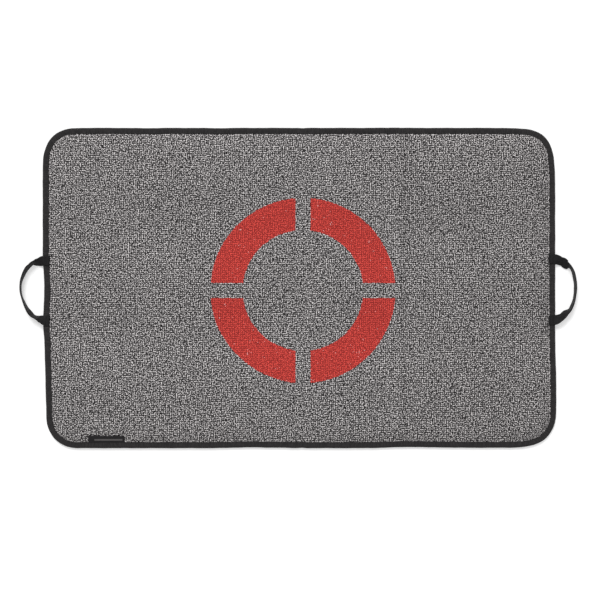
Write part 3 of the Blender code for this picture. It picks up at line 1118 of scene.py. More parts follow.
def foam_finish(weaves, colours):
    """Fine closed-cell foam."""
    paint = Finish("foam_core", 0.92)
    flat = paint.flat_map()
    pores = paint.cells(flat, 1 / weaves.foam_pore, 1.0)
    pore = paint.fade(pores.outputs["Distance"], 0.10, 0.60)
    mottle = paint.noise(flat, 40.0, 3.0)
    colour = paint.tinted(paint.clamp(pore * 0.7 + mottle * 0.4), colours.foam, 0.6, 1.0)
    return paint.show(colour, paint.bump(pore, 0.0003, 0.6))


def thread_finish(name, weaves, thread):
    """Twisted thread."""
    paint = Finish(name, 0.6, Specular_IOR_Level=0.2)
    x, y, z = paint.parts(paint.places())
    twist = paint.wave(x + y * 1.7 + z * 2.3, weaves.thread_twist)
    return paint.show(paint.tinted(twist, thread, 0.5, 1.9), paint.bump(twist, 0.0001, 0.6))


def tag_finish(tag, weaves, colours):
    """A bare woven tag: black ground, and a plain field of paler yarn."""
    paint = Finish("woven_tag", 0.8, Specular_IOR_Level=0.15)
    flat = paint.flat_map()
    along, across, _ = paint.parts(flat)
    ribs = paint.wave(across, weaves.tag_rib)
    ticks = paint.wave(along, weaves.tag_tick, across * 4000.0)
    weave = paint.clamp(ribs * 0.6 + ticks * 0.4)
    rough = paint.noise(flat, 900.0, 2.0) - 0.5
    place = along + rough * 0.0010
    soft = 0.0006
    left, right = tag.field_inset, tag.length - tag.field_end
    lengthways = paint.fade(place, left, left + soft) * paint.fade(place, right, right - soft)
    off_middle = paint.off(across + rough * 0.0008, tag.field_middle)
    edge = (tag.field_width + soft) / 2
    in_field = lengthways * paint.fade(off_middle, edge, edge - soft)
    base = paint.tinted(weave, colours.tag, 0.7, 1.5)
    field = paint.tinted(weave, colours.tag_field, 0.62, 1.35)
    return paint.show(paint.mix(in_field, base, field), paint.bump(weave, 0.00010, 0.7))


def floor_finish(colours, glow):
    """A pale floor that the camera sees as white, with the pad's shadow left on it.

    Seen from below it is clear, so that the underside of the pad can be looked at."""
    paint = Finish("studio_floor", 1.0)
    diffuse = paint.wire("ShaderNodeBsdfDiffuse", None, {"Color": (*colours.floor, 1.0)})
    light = paint.wire("ShaderNodeEmission", None, {"Strength": paint.seen() * glow})
    above = paint.wire("ShaderNodeAddShader", None, {0: diffuse, 1: light})
    clear = paint.wire("ShaderNodeBsdfTransparent")
    below = paint.wire("ShaderNodeNewGeometry", output="Backfacing")
    either = paint.wire("ShaderNodeMixShader", None, {0: below, 1: above, 2: clear})
    paint.feed(paint.tree.nodes["Material Output"].inputs["Surface"], either)
    paint.tree.nodes.remove(paint.shader)
    return paint.material


# Geometry nodes

class Pattern(Graph):
    """A geometry node tree with named inputs, put on a piece and then turned into plain mesh."""

    def __init__(self, name, inputs):
        tree = bpy.data.node_groups.new(name, "GeometryNodeTree")
        super().__init__(tree)
        tree.interface.new_socket("Geometry", in_out="INPUT", socket_type="NodeSocketGeometry")
        tree.interface.new_socket("Geometry", in_out="OUTPUT", socket_type="NodeSocketGeometry")
        self.identifiers = {}
        for label, kind in inputs.items():
            made = tree.interface.new_socket(label, in_out="INPUT", socket_type=kind)
            self.identifiers[label] = made.identifier
        self.source = self.node("NodeGroupInput")

    def given(self, label):
        return Wire(self, self.source.outputs[label])

    def spots(self):
        """Points a pitch apart along the guide."""
        curve = self.wire("GeometryNodeMeshToCurve", None, {0: self.given("Geometry")})
        inputs = {"Curve": curve, "Length": self.given("Pitch")}
        return self.wire("GeometryNodeResampleCurve", {"mode": "LENGTH"}, inputs)

    def random_number(self, low, high, seed):
        inputs = {2: low, 3: high, "Seed": seed}
        return self.wire("FunctionNodeRandomValue", {"data_type": "FLOAT"}, inputs, 1)

    def random_vector(self, low, high, seed):
        inputs = {0: low, 1: high, "Seed": seed}
        return self.wire("FunctionNodeRandomValue", {"data_type": "FLOAT_VECTOR"}, inputs)

    def turned(self, instances, turn):
        inputs = {"Instances": instances, "Rotation": turn, "Local Space": True}
        return self.wire("GeometryNodeRotateInstances", None, inputs)

    def end(self, geometry):
        """Ends the tree: instances made real, and the finish put on."""
        real = self.wire("GeometryNodeRealizeInstances", None, {0: geometry})
        inputs = {"Geometry": real, "Material": self.given("Finish")}
        dressed = self.wire("GeometryNodeSetMaterial", None, inputs)
        self.node("NodeGroupOutput", None, {0: dressed})

    def made_on(self, name, guide, values, finish):
        """Runs the tree on a guide mesh with these values and returns the plain piece."""
        carrier = bpy.data.objects.new(name, guide)
        bpy.context.scene.collection.objects.link(carrier)
        modifier = carrier.modifiers.new("Pattern", "NODES")
        modifier.node_group = self.tree
        for label, value in values.items():
            modifier[self.identifiers[label]] = value
        modifier[self.identifiers["Finish"]] = finish
        bpy.context.view_layer.update()
        graph = bpy.context.evaluated_depsgraph_get()
        mesh = bpy.data.meshes.new_from_object(
            carrier.evaluated_get(graph), preserve_all_data_layers=True, depsgraph=graph
        )
        if not mesh.polygons:
            raise RuntimeError(f"{name}: the pattern made no faces")
        carrier.modifiers.clear()
        carrier.data = mesh
        mesh.name = name
        mesh.shade_smooth()
        return carrier


def guide_mesh(name, lines):
    """Loose edges that a pattern follows, from lists of points; a closed line repeats its first."""
    points, edges = [], []
    for line in lines:
        first = len(points)
        closed = np.allclose(line[0], line[-1])
        kept = line[:-1] if closed else line
        points.extend(tuple(point) for point in kept)
        edges.extend((first + k, first + k + 1) for k in range(len(kept) - 1))
        if closed:
            edges.append((first + len(kept) - 1, first))
    mesh = bpy.data.meshes.new(name)
    mesh.from_pydata(points, edges, [])
    return mesh


def stitch_pattern():
    """Stitches laid one after another along a guide."""
    tree = Pattern("stitches", {
        "Pitch": "NodeSocketFloat",
        "Stitch Length": "NodeSocketFloat",
        "Thread Radius": "NodeSocketFloat",
        "Turn": "NodeSocketFloat",
        "Slant": "NodeSocketFloat",
        "Seed": "NodeSocketInt",
        "Finish": "NodeSocketMaterial",
    })
    spots = tree.spots()
    ball = tree.wire("GeometryNodeMeshUVSphere", None, {"Segments": 6, "Rings": 5, "Radius": 1.0})
    half = tree.given("Stitch Length") * 0.5
    radius = tree.given("Thread Radius")
    scale = tree.wire("ShaderNodeCombineXYZ", None, {0: half, 1: radius, 2: radius})
    stitch = tree.wire("GeometryNodeTransform", None, {"Geometry": ball, "Scale": scale})
    tangent = tree.wire("GeometryNodeInputTangent")
    facing = tree.wire(
        "FunctionNodeAlignRotationToVector", {"axis": "X", "pivot_axis": "Z"}, {"Vector": tangent}
    )
    number = tree.wire("GeometryNodeInputIndex")
    odd = tree.maths("PINGPONG", number, 1.0)
    loose = tree.random_number(-0.05, 0.05, tree.given("Seed"))
    lean = tree.given("Turn") + (odd * 2.0 - 1.0) * tree.given("Slant") + loose
    yaw = tree.wire("ShaderNodeCombineXYZ", None, {2: lean})
    inputs = {"Points": spots, "Instance": stitch, "Rotation": facing}
    placed = tree.wire("GeometryNodeInstanceOnPoints", None, inputs)
    tree.end(tree.turned(placed, yaw))
    return tree


def tuft_pattern():
    """Arched tufts of yarn that lean over a guide, each with its own size, turn and tone."""
    tree = Pattern("tufts", {
        "Pitch": "NodeSocketFloat",
        "Tuft Length": "NodeSocketFloat",
        "Yarn Radius": "NodeSocketFloat",
        "Scatter": "NodeSocketFloat",
        "Seed": "NodeSocketInt",
        "Finish": "NodeSocketMaterial",
    })
    seed = tree.given("Seed")
    shake = tree.random_vector((-1.0, -1.0, -0.25), (1.0, 1.0, 0.25), seed)
    away = tree.wire(
        "ShaderNodeVectorMath", {"operation": "SCALE"}, {0: shake, "Scale": tree.given("Scatter")}
    )
    spots = tree.wire("GeometryNodeSetPosition", None, {"Geometry": tree.spots(), "Offset": away})
    half = tree.given("Tuft Length") * 0.5
    rise = tree.given("Tuft Length") * 0.62
    start = tree.wire("ShaderNodeCombineXYZ", None, {0: half * -1.0, 2: rise * -0.5})
    middle = tree.wire("ShaderNodeCombineXYZ", None, {2: rise})
    finish = tree.wire("ShaderNodeCombineXYZ", None, {0: half, 2: rise * -0.5})
    arch = tree.wire(
        "GeometryNodeCurveQuadraticBezier", None,
        {"Resolution": 4, "Start": start, "Middle": middle, "End": finish},
    )
    ring = tree.wire(
        "GeometryNodeCurvePrimitiveCircle", None,
        {"Resolution": 5, "Radius": tree.given("Yarn Radius")},
    )
    tuft = tree.wire(
        "GeometryNodeCurveToMesh", None, {"Curve": arch, "Profile Curve": ring, "Fill Caps": True}
    )
    size = tree.random_number(0.7, 1.25, seed + 1)
    inputs = {"Points": spots, "Instance": tuft, "Scale": size}
    placed = tree.wire("GeometryNodeInstanceOnPoints", None, inputs)
    spin = tree.random_vector((-0.5, -0.5, 0.0), (0.5, 0.5, math.pi), seed + 2)
    tone = tree.random_number(0.0, 1.0, seed + 3)
    toned = tree.wire(
        "GeometryNodeStoreNamedAttribute", {"data_type": "FLOAT", "domain": "INSTANCE"},
        {"Geometry": tree.turned(placed, spin), "Name": TUFT_TONE, "Value": tone},
    )
    tree.end(toned)
    return tree


def sewn(name, lines, finish, *, pitch, length, radius, seed, turn=0.0, slant=0.0):
    """Stitches along lines, as one piece. Turned across the line, they make a dense bar."""
    values = {
        "Pitch": pitch,
        "Stitch Length": length,
        "Thread Radius": radius,
        "Turn": turn,
        "Slant": slant,
        "Seed": seed,
    }
    return stitch_pattern().made_on(name, guide_mesh(name, lines), values, finish)


# Pieces

def fold_blend(piece):
    """Bakes the piece's transform into its mesh."""
    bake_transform(piece)


def carpet_insets(sizes):
    rim = sizes.rim_height / 2
    face = sizes.tape_face
    steps = (0.0015, 0.0035, 0.006, 0.009, 0.013, 0.017, 0.022, 0.027, 0.032, 0.038, 0.046, 0.055)
    return [rim, 0.0075, face] + [face + step for step in steps]


class PAD_OT_stage(bpy.types.Operator):
    """Makes the floor, the light and the camera"""

    bl_idname = "pad.stage"
    bl_label = "Stage"
    bl_options = {"REGISTER", "UNDO"}

    def execute(self, context):
        scene = context.scene
        stage = scene.pad_stage
        scene.view_settings.view_transform = "Standard"
        mesh = bpy.data.meshes.new("studio_floor")
        reach, level = 9.0, -0.0002
        corners = ((-1, -1), (1, -1), (1, 1), (-1, 1))
        points = [(x * reach, y * reach, level) for x, y in corners]
        mesh.from_pydata(points, [], [(0, 1, 2, 3)])
        floor = add_piece("studio_floor", mesh, floor_finish(scene.pad_colours, stage.floor_glow))
        self.light_room(scene, stage)
        self.add_key(scene, stage)
        self.add_camera(scene, stage)
        return {"FINISHED"}

    def light_room(self, scene, stage):
        world = bpy.data.worlds.new("studio_light")
        world.use_nodes = True
        scene.world = world
        room = Graph(world.node_tree)
        strength = room.seen() * (1.0 - stage.fill_share) + stage.fill_share
        background = world.node_tree.nodes["Background"]
        background.inputs["Color"].default_value = (1.0, 1.0, 1.0, 1.0)
        room.feed(background.inputs["Strength"], strength)

    def add_key(self, scene, stage):
        lamp = bpy.data.lights.new("key_light", "SUN")
        lamp.energy = stage.key_share * math.pi / math.sin(stage.key_height)
        lamp.angle = stage.key_spread
        key = bpy.data.objects.new("key_light", lamp)
        level = math.cos(stage.key_height)
        towards = Vector((
            -level * math.sin(stage.key_bearing),
            level * math.cos(stage.key_bearing),
            math.sin(stage.key_height),
        ))
        key.rotation_euler = towards.to_track_quat("Z", "Y").to_euler()
        key.location = towards * 4.0
        scene.collection.objects.link(key)

    def add_camera(self, scene, stage):
        data = bpy.data.cameras.new("photo_camera")
        data.lens = stage.lens
        data.sensor_width = 36.0
        data.clip_end = 50.0
        camera = bpy.data.objects.new("photo_camera", data)
        height = stage.view_span * stage.lens / data.sensor_width
        camera.location = (stage.view_x, stage.view_y, height)
        scene.collection.objects.link(camera)
        scene.camera = camera


class PAD_OT_foam(bpy.types.Operator):
    """Makes the foam core, which the seam squeezes to a lip at its rim"""

    bl_idname = "pad.foam"
    bl_label = "Foam core"
    bl_options = {"REGISTER", "UNDO"}

    def execute(self, context):
        scene = context.scene
        sizes = scene.pad_sizes
        grid = PadGrid(sizes, carpet_insets(sizes), 2 * sizes.mesh_step, sizes.fold_step)
        face = carpet_face_height(sizes, grid)
        top = face - carpet_depth(sizes, grid.inset) - sizes.clearance
        lip = sizes.tape_thickness + sizes.ground_thickness + 2 * sizes.clearance
        rest = sizes.ground_thickness + sizes.clearance
        down = np.clip((grid.inset - sizes.tape_face - sizes.clearance) / sizes.ground_step, 0, 1)
        mesh = grid.solid("foam_core", top, lip + (rest - lip) * down)
        piece = add_piece("foam_core", mesh, foam_finish(scene.pad_weaves, scene.pad_colours))
        fold_blend(piece)
        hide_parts("foam_left", "foam_right")
        return {"FINISHED"}


class PAD_OT_ground_cloth(bpy.types.Operator):
    """Makes the ground cloth, flat on the ground and turned up into the binding"""

    bl_idname = "pad.ground_cloth"
    bl_label = "Ground cloth"
    bl_options = {"REGISTER", "UNDO"}

    def execute(self, context):
        scene = context.scene
        sizes = scene.pad_sizes
        face = sizes.tape_face + sizes.clearance
        insets = [sizes.rim_height / 2, face, face + sizes.ground_step / 2]
        insets += [face + sizes.ground_step, 0.022, 0.034, 0.048, sizes.corner_radius + 0.003]
        grid = PadGrid(sizes, insets, 0.016, sizes.fold_step)
        down = level_rise((grid.inset - face) / sizes.ground_step)
        under = (sizes.tape_thickness + sizes.clearance) * (1 - down)
        mesh = grid.solid("ground_cloth", under + sizes.ground_thickness, under)
        finish = ground_finish(scene.pad_weaves, scene.pad_colours)
        piece = add_piece("ground_cloth", mesh, finish)
        fold_blend(piece)
        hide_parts("ground_fabric_left", "ground_fabric_right")
        return {"FINISHED"}


class PAD_OT_carpet(bpy.types.Operator):
    """Makes the carpet face with its printed ring"""

    bl_idname = "pad.carpet"
    bl_label = "Carpet face"
    bl_options = {"REGISTER", "UNDO"}

    def execute(self, context):
        scene = context.scene
        sizes = scene.pad_sizes
        grid = PadGrid(sizes, carpet_insets(sizes), sizes.mesh_step, sizes.fold_step)
        face = carpet_face_height(sizes, grid)
        mesh = grid.solid("carpet_face", face, face - carpet_depth(sizes, grid.inset))
        finish = carpet_finish(scene.pad_pile, scene.pad_colours)
        piece = add_piece("carpet_face", mesh, finish)
        fold_blend(piece)
        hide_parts("carpet_left", "carpet_right")
        return {"FINISHED"}


# How deep the seam sinks into a leaf of the tape, as a share of the tape's thickness.
SEAM_SAG = 0.38


def tape_section(sizes, seam):
    """Section of the folded tape, from the inner edge of its upper leaf round to the start.

    The seam draws both leaves in to a groove."""
    face = sizes.tape_face
    high = sizes.rim_height
    thick = sizes.tape_thickness
    outer = high / 2
    inner = outer - thick
    upper = [
        (face, high - 0.85 * thick),
        (face + 0.0001, high - 0.55 * thick),
        (face - 0.0001, high - 0.26 * thick),
        (face - 0.0006, high - 0.10 * thick),
        (seam + 0.0008, high - 0.12 * thick),
        (seam, high - SEAM_SAG * thick),
        (seam - 0.0008, high - 0.12 * thick),
        (seam - 0.0020, high),
    ]
    turn = [math.pi * step / 12 for step in range(13)]
    bend = [(outer - outer * math.sin(a), outer + outer * math.cos(a)) for a in turn]
    lower = [(inset, high - height) for inset, height in reversed(upper)]
    lining_turn = [math.pi * step / 6 for step in range(6, -1, -1)]
    lining = [(face - 0.0010, thick)]
    lining += [(outer - inner * math.sin(a), outer + inner * math.cos(a)) for a in lining_turn]
    lining += [(face - 0.0010, high - thick)]
    return upper + bend + lower + lining


def distances_round(section):
    """Distance round a closed section to each of its points, and to its start again."""
    reached = [0.0]
    for first, second in zip(section, section[1:] + section[:1]):
        reached.append(reached[-1] + math.dist(first, second))
    return reached


class PAD_OT_binding(bpy.types.Operator):
    """Makes the binding tape, one length folded round the rim and joined at the back"""

    bl_idname = "pad.binding"
    bl_label = "Binding tape"
    bl_options = {"REGISTER", "UNDO"}

    def execute(self, context):
        scene = context.scene
        sizes = scene.pad_sizes
        walk = rim_walk(sizes, 0.0035)
        section = tape_section(sizes, scene.pad_threads.seam_inset)
        edge_wave = walk.wave(((0.00022, 61, 0.4), (0.00018, 97, 2.0), (0.00012, 173, 1.0)))
        edge_wave = edge_wave + walk.drawn_in()
        lift_wave = walk.wave(((0.00010, 83, 1.3), (0.00008, 141, 0.2)))
        side_wave = walk.wave(((0.00014, 47, 0.9), (0.00008, 119, 2.6)))
        join_length, join_end = 0.021, 0.0012
        join_rise, join_reach = 0.0005, 0.0003
        sewn_width, free_width = 0.0090, 0.0020
        side_width = 0.0040
        upper_start, upper_height = 0.006, 0.003
        overlap = level_rise((join_length - walk.along[:-1]) / join_end)
        rows = []
        for inset, height in section:
            free = float(level_rise((inset - sewn_width) / free_width))
            outside = float(level_rise((side_width - inset) / side_width))
            upper = float(level_rise((height - upper_start) / upper_height))
            outline_inset = inset + edge_wave * free + side_wave * outside
            level = height + upper * (lift_wave + join_rise * overlap)
            rows.append(walk.points(outline_inset - join_reach * overlap * outside, level))
        around = distances_round(section)
        mesh = swept("edge_binding", np.stack(rows, 1), walk.along, around, True)
        finish = tape_finish(sizes, scene.pad_threads, scene.pad_weaves, scene.pad_colours)
        piece = add_piece("edge_binding", mesh, finish)
        fold_blend(piece)
        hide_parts("binding_left", "binding_right")
        return {"FINISHED"}


def rim_walk(sizes, step):
    """Stations round the rim that start where the tape is joined."""
    join, fold_step, corner_steps = 0.181, 0.002, 20
    return RimWalk(sizes, join, step, fold_step, corner_steps)


class PAD_OT_binding_seam(bpy.types.Operator):
    """Sews the binding through, with a row of stitches above and one below"""

    bl_idname = "pad.binding_seam"
    bl_label = "Binding seam"
    bl_options = {"REGISTER", "UNDO"}

    def execute(self, context):
        scene = context.scene
        sizes = scene.pad_sizes
        threads = scene.pad_threads
        finish = thread_finish("binding_thread", scene.pad_weaves, scene.pad_colours.thread)
        walk = rim_walk(sizes, 0.004)
        sag = SEAM_SAG * sizes.tape_thickness
        proud_above, proud_below = 0.00012, 0.00004
        levels = {
            "binding_stitches_above": (sizes.rim_height - sag + proud_above, 3),
            "binding_stitches_below": (sag - proud_below, 8),
        }
        for name, (level, seed) in levels.items():
            line = walk.points(threads.seam_inset, level)
            piece = sewn(
                name, [np.concatenate([line, line[:1]])], finish, pitch=threads.seam_pitch,
                length=threads.seam_stitch, radius=threads.thread_radius, seed=seed,
            )
            fold_blend(piece)
        return {"FINISHED"}


class PAD_OT_pile_fringe(bpy.types.Operator):
    """Lays the carpet's outermost loops over the inner edge of the tape"""

    bl_idname = "pad.pile_fringe"
    bl_label = "Pile fringe"
    bl_options = {"REGISTER", "UNDO"}

    def execute(self, context):
        scene = context.scene
        sizes = scene.pad_sizes
        pile = scene.pad_pile
        walk = rim_walk(sizes, 0.003)
        inset = sizes.tape_face + pile.tuft_inset + walk.drawn_in()
        line = walk.points(inset, sizes.rim_height - pile.tuft_depth)
        lines = [part for part in self.clear_parts(scene, line) if len(part) > 1]
        values = {
            "Pitch": pile.tuft_pitch,
            "Tuft Length": pile.tuft_length,
            "Yarn Radius": pile.tuft_radius,
            "Scatter": pile.tuft_scatter,
            "Seed": 21,
        }
        guide = guide_mesh("pile_fringe", lines)
        finish = tuft_finish(scene.pad_colours)
        piece = tuft_pattern().made_on("pile_fringe", guide, values, finish)
        fold_blend(piece)
        return {"FINISHED"}

    def clear_parts(self, scene, line):
        """The stretches of the line that no strap and no tag covers."""
        sizes = scene.pad_sizes
        tag = scene.pad_tag
        strap_gap, tag_gap, near_edge = 0.003, 0.002, 0.030
        half = scene.pad_straps.width / 2 + strap_gap
        roots = [(side, row[1]) for side in (-1, 1) for row in (STRAPS[side][0], STRAPS[side][-1])]
        tag_ends = [tag.left - tag_gap, tag.left + tag.length + tag_gap]
        tag_left, tag_right = settle(sizes, np.array(tag_ends), -sizes.width / 2)[0]
        parts, part = [], []
        for point in list(line) + [line[0]]:
            x, y = point[0], point[1]
            covered = any(
                side * x > sizes.length / 2 - near_edge and abs(y - middle) < half
                for side, middle in roots
            )
            if covered or (y < near_edge - sizes.width / 2 and tag_left < x < tag_right):
                parts.append(part)
                part = []
            else:
                part.append(point)
        parts.append(part)
        return parts


# Each strap's middle line: distance out from the pad's edge, place across the pad, and lean of
# the webbing in degrees, from flat at the sewn ends to nearly upright in the hand's place.
STRAPS = {
    -1: (
        (-0.0128, 0.0548, 0),
        (-0.0050, 0.0547, 2),
        (0.0000, 0.0541, 8),
        (0.0030, 0.0531, 18),
        (0.0060, 0.0521, 31),
        (0.0100, 0.0515, 42),
        (0.0140, 0.0511, 50),
        (0.0180, 0.0502, 64),
        (0.0220, 0.0492, 74),
        (0.0260, 0.0456, 77),
        (0.0300, 0.0420, 75),
        (0.0361, 0.0333, 78),
        (0.0404, 0.0239, 82),
        (0.0438, 0.0141, 87),
        (0.0451, 0.0060, 91),
        (0.0453, -0.0020, 91),
        (0.0446, -0.0090, 92),
        (0.0423, -0.0182, 92),
        (0.0380, -0.0290, 86),
        (0.0322, -0.0411, 79),
        (0.0265, -0.0492, 71),
        (0.0206, -0.0556, 74),
        (0.0150, -0.0582, 73),
        (0.0100, -0.0601, 61),
        (0.0060, -0.0614, 46),
        (0.0020, -0.0625, 36),
        (-0.0040, -0.0648, 10),
        (-0.0128, -0.0656, 0),
    ),
    1: (
        (-0.0140, 0.0584, 0),
        (-0.0060, 0.0582, 1),
        (-0.0015, 0.0574, 6),
        (0.0035, 0.0560, 18),
        (0.0081, 0.0542, 34),
        (0.0155, 0.0517, 34),
        (0.0215, 0.0463, 42),
        (0.0248, 0.0447, 60),
        (0.0284, 0.0424, 77),
        (0.0346, 0.0324, 83),
        (0.0371, 0.0214, 82),
        (0.0391, 0.0089, 84),
        (0.0393, -0.0009, 83),
        (0.0382, -0.0130, 86),
        (0.0362, -0.0244, 85),
        (0.0322, -0.0355, 81),
        (0.0277, -0.0440, 78),
        (0.0237, -0.0472, 68),
        (0.0197, -0.0501, 58),
        (0.0132, -0.0566, 52),
        (0.0071, -0.0600, 40),
        (0.0020, -0.0622, 21),
        (-0.0015, -0.0636, 11),
        (-0.0060, -0.0642, 3),
        (-0.0140, -0.0643, 0),
    ),
}


def strap_course(scene, side):
    """One strap from back to front: its middle line, and the ways over and through its width."""
    sizes = scene.pad_sizes
    strap = scene.pad_straps
    course = smooth_through(STRAPS[side], strap.steps)
    out, y, lean = course[:, 0], course[:, 1], np.radians(course[:, 2])
    rest = strap.width / 2 * np.sin(lean) + strap.thickness / 2 * np.abs(np.cos(lean))
    rest = rest + strap.ground_air
    drop_length = 0.022
    drop = level_rise(out / drop_length)
    z = np.maximum(strap.root_height * (1 - drop) + rest * drop, rest)
    x = side * (sizes.length / 2 + out)
    middle = np.stack([x, y, z], 1)
    step = np.gradient(middle, axis=0)
    way = step / np.linalg.norm(step, axis=1)[:, None]
    level_way = way * (1, 1, 0)
    level_way = level_way / np.linalg.norm(level_way, axis=1)[:, None]
    outward = np.stack([-side * level_way[:, 1], side * level_way[:, 0], 0 * out], 1)
    across = outward * np.cos(lean)[:, None] + np.array((0, 0, 1)) * np.sin(lean)[:, None]
    across = across - way * (across * way).sum(1)[:, None]
    across = across / np.linalg.norm(across, axis=1)[:, None]
    return middle, across, np.cross(way, across)


def strap_rows(scene, side):
    """Sections of one strap from its back end to its front end, and the distance along it."""
    middle, across, through = strap_course(scene, side)
    section = strap_section(scene.pad_straps)
    rows = [middle + across * a + through * t for a, t in section]
    gone = np.linalg.norm(np.diff(middle, axis=0), axis=1)
    along = np.concatenate([[0.0], np.cumsum(gone)])
    return np.stack(rows, 1), along, distances_round(section)


def strap_section(strap):
    """The webbing's section: flat faces with eased selvedges."""
    half = strap.width / 2
    thick = strap.thickness / 2
    quarter = [
        (half - 0.0040, thick),
        (half - 0.0014, 0.98 * thick),
        (half - 0.0006, 0.80 * thick),
        (half, 0.25 * thick),
    ]
    face = [(a * half, 1.05 * thick) for a in (-0.3, 0.0, 0.3)]
    edge = quarter + [(a, -t) for a, t in reversed(quarter)]
    upper = face + edge
    return upper + [(-a, -t) for a, t in upper]


def tack_lines(scene, side):
    """Bars across both sewn ends of one strap, just over its face."""
    strap = scene.pad_straps
    middle, across, through = strap_course(scene, side)
    inset = scene.pad_sizes.length / 2 - side * middle[:, 0]
    half = len(middle) // 2
    lines = []
    for first, last in ((0, half), (half, len(middle))):
        for place in (strap.outer_tack, strap.inner_tack):
            k = first + int(np.argmin(np.abs(inset[first:last] - place)))
            over = middle[k] + through[k] * np.sign(through[k][2]) * strap.tack_height
            ways = np.linspace(-strap.tack_length / 2, strap.tack_length / 2, 3)
            lines.append(np.array([over + across[k] * way for way in ways]))
    return lines


class PAD_OT_straps(bpy.types.Operator):
    """Makes both carry straps, flat where they are sewn and turned on edge for the hand"""

    bl_idname = "pad.straps"
    bl_label = "Carry straps"
    bl_options = {"REGISTER", "UNDO"}

    def execute(self, context):
        scene = context.scene
        finish = webbing_finish(scene.pad_weaves, scene.pad_colours)
        for side, word in ((-1, "left"), (1, "right")):
            rows, along, around = strap_rows(scene, side)
            name = f"carry_strap_{word}"
            piece = add_piece(name, swept(name, rows, along, around, False), finish)
            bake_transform(piece)
            nodes = [f"carry_loop_{word}"]
            nodes += [f"strap_end_{word}_{end_word}" for end_word in ("back", "front")]
            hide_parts(*nodes)
        return {"FINISHED"}


class PAD_OT_strap_tacks(bpy.types.Operator):
    """Sews each strap end down with two bars of dense stitches"""

    bl_idname = "pad.strap_tacks"
    bl_label = "Strap tacks"
    bl_options = {"REGISTER", "UNDO"}

    def execute(self, context):
        scene = context.scene
        strap = scene.pad_straps
        threads = scene.pad_threads
        finish = thread_finish("tack_thread", scene.pad_weaves, scene.pad_colours.tack_thread)
        for side, word in ((-1, "left"), (1, "right")):
            piece = sewn(
                f"strap_tacks_{word}", tack_lines(scene, side), finish,
                pitch=threads.tack_pitch, length=strap.tack_width, radius=threads.tack_thread,
                seed=5, turn=math.pi / 2, slant=0.16,
            )
            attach(piece, f"{word}_half")
        return {"FINISHED"}


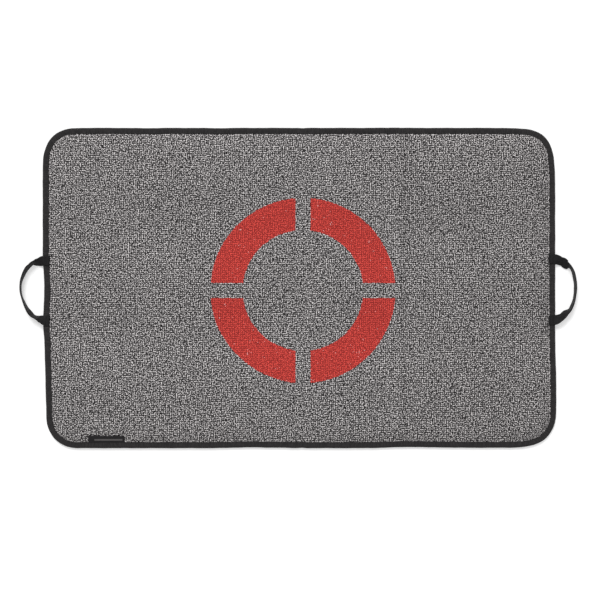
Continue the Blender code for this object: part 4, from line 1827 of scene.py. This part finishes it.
class PAD_OT_side_tag(bpy.types.Operator):
    """Makes the bare woven tag beside the front binding"""

    bl_idname = "pad.side_tag"
    bl_label = "Side tag"
    bl_options = {"REGISTER", "UNDO"}

    def faces(self, scene, place, share):
        """A place's point on the tag's lower face and the point over it on the upper one."""
        sizes = scene.pad_sizes
        tag = scene.pad_tag
        inset = tag.inset + tag.depth * share
        x, y = tag.left + place, inset - sizes.width / 2
        waves, wave_start, fold_bulge = 160, 0.6, 0.5
        wave = 0.5 + 0.5 * math.sin(place * waves + wave_start)
        lift = tag.wave * wave * share**2
        low = float(face_height(sizes, inset, x, y)) + tag.thickness + lift
        return (x, y, low), (x, y, low + tag.thickness * (1.0 + fold_bulge * share))

    def execute(self, context):
        scene = context.scene
        sizes = scene.pad_sizes
        tag = scene.pad_tag
        places = np.linspace(0.0, tag.length, 49)
        shares = np.linspace(0.0, 1.0, 9)
        tag_nose = 0.0004
        rows = []
        for place in places:
            pairs = [self.faces(scene, place, share) for share in shares]
            under = [pair[0] for pair in pairs]
            over = [pair[1] for pair in pairs]
            nose = (under[0][0], tag.inset + tag.depth + tag_nose - sizes.width / 2)
            turned = (under[-1][2] + over[-1][2]) / 2
            section = over + [(*nose, turned)] + under[::-1]
            moved = np.array(section)
            moved[:, 0], moved[:, 1] = settle(sizes, moved[:, 0], moved[:, 1])
            rows.append(moved)
        rows = np.array(rows)
        gaps = np.linalg.norm(np.diff(rows[0], axis=0, append=rows[0][:1]), axis=1)
        around = np.concatenate([[0.0], np.cumsum(gaps)])
        mesh = swept("woven_side_tag", rows, places, around, False)
        finish = tag_finish(tag, scene.pad_weaves, scene.pad_colours)
        piece = add_piece("woven_side_tag", mesh, finish)
        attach(piece, "left_half")
        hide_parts("side_label")
        self.sew(scene)
        return {"FINISHED"}

    def sew(self, scene):
        """Sews the tag down along its seam side and up both of its ends."""
        sizes = scene.pad_sizes
        tag = scene.pad_tag
        threads = scene.pad_threads
        inset = tag.stitch_inset
        low = inset / tag.depth
        along = np.linspace(inset, tag.length - inset, 30)
        up = np.linspace(low, 1 - low, 10)
        course = [(along[0], share) for share in up[::-1]]
        course += [(place, low) for place in along[1:-1]]
        course += [(along[-1], share) for share in up]
        points = np.array([self.faces(scene, place, share)[1] for place, share in course])
        points[:, 0], points[:, 1] = settle(sizes, points[:, 0], points[:, 1])
        over_weave = 0.0001
        points[:, 2] += over_weave
        finish = thread_finish("tag_thread", scene.pad_weaves, scene.pad_colours.tack_thread)
        piece = sewn(
            "tag_stitches", [points], finish, pitch=threads.tag_pitch,
            length=0.8 * threads.tag_pitch, radius=threads.tag_thread, seed=12,
        )
        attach(piece, "left_half")


STEPS = (
    PAD_OT_stage,
    PAD_OT_foam,
    PAD_OT_ground_cloth,
    PAD_OT_carpet,
    PAD_OT_binding,
    PAD_OT_binding_seam,
    PAD_OT_pile_fringe,
    PAD_OT_straps,
    PAD_OT_strap_tacks,
    PAD_OT_side_tag,
)

GROUPS = {
    "pad_sizes": PadSizes,
    "pad_pile": PileSizes,
    "pad_straps": StrapSizes,
    "pad_threads": ThreadSizes,
    "pad_tag": TagSizes,
    "pad_weaves": WeaveSizes,
    "pad_colours": PadColours,
    "pad_stage": StageSettings,
}


class VIEW3D_PT_pad(bpy.types.Panel):
    """Lists the pieces of the pad and the values that they are made from"""

    bl_label = "Bouldering Pad"
    bl_space_type = "VIEW_3D"
    bl_region_type = "UI"
    bl_category = "Pad"

    def draw(self, context):
        for step in STEPS:
            self.layout.operator(step.bl_idname)
        for name in GROUPS:
            group = getattr(context.scene, name)
            box = self.layout.box()
            box.label(text=name.replace("_", " ").capitalize())
            for key in group.__annotations__:
                box.prop(group, key)


def register():
    for group in GROUPS.values():
        bpy.utils.register_class(group)
    for name, group in GROUPS.items():
        setattr(bpy.types.Scene, name, PointerProperty(type=group))
    for step in STEPS:
        bpy.utils.register_class(step)
    bpy.utils.register_class(VIEW3D_PT_pad)


def unregister():
    bpy.utils.unregister_class(VIEW3D_PT_pad)
    for step in reversed(STEPS):
        bpy.utils.unregister_class(step)
    for name, group in GROUPS.items():
        delattr(bpy.types.Scene, name)
        bpy.utils.unregister_class(group)


def main():
    register()
    bpy.ops.pad.stage()
    bpy.ops.pad.foam()
    bpy.ops.pad.ground_cloth()
    bpy.ops.pad.carpet()
    bpy.ops.pad.binding()
    bpy.ops.pad.binding_seam()
    bpy.ops.pad.pile_fringe()
    bpy.ops.pad.straps()
    bpy.ops.pad.strap_tacks()
    bpy.ops.pad.side_tag()


if __name__ == "__main__":
    main()
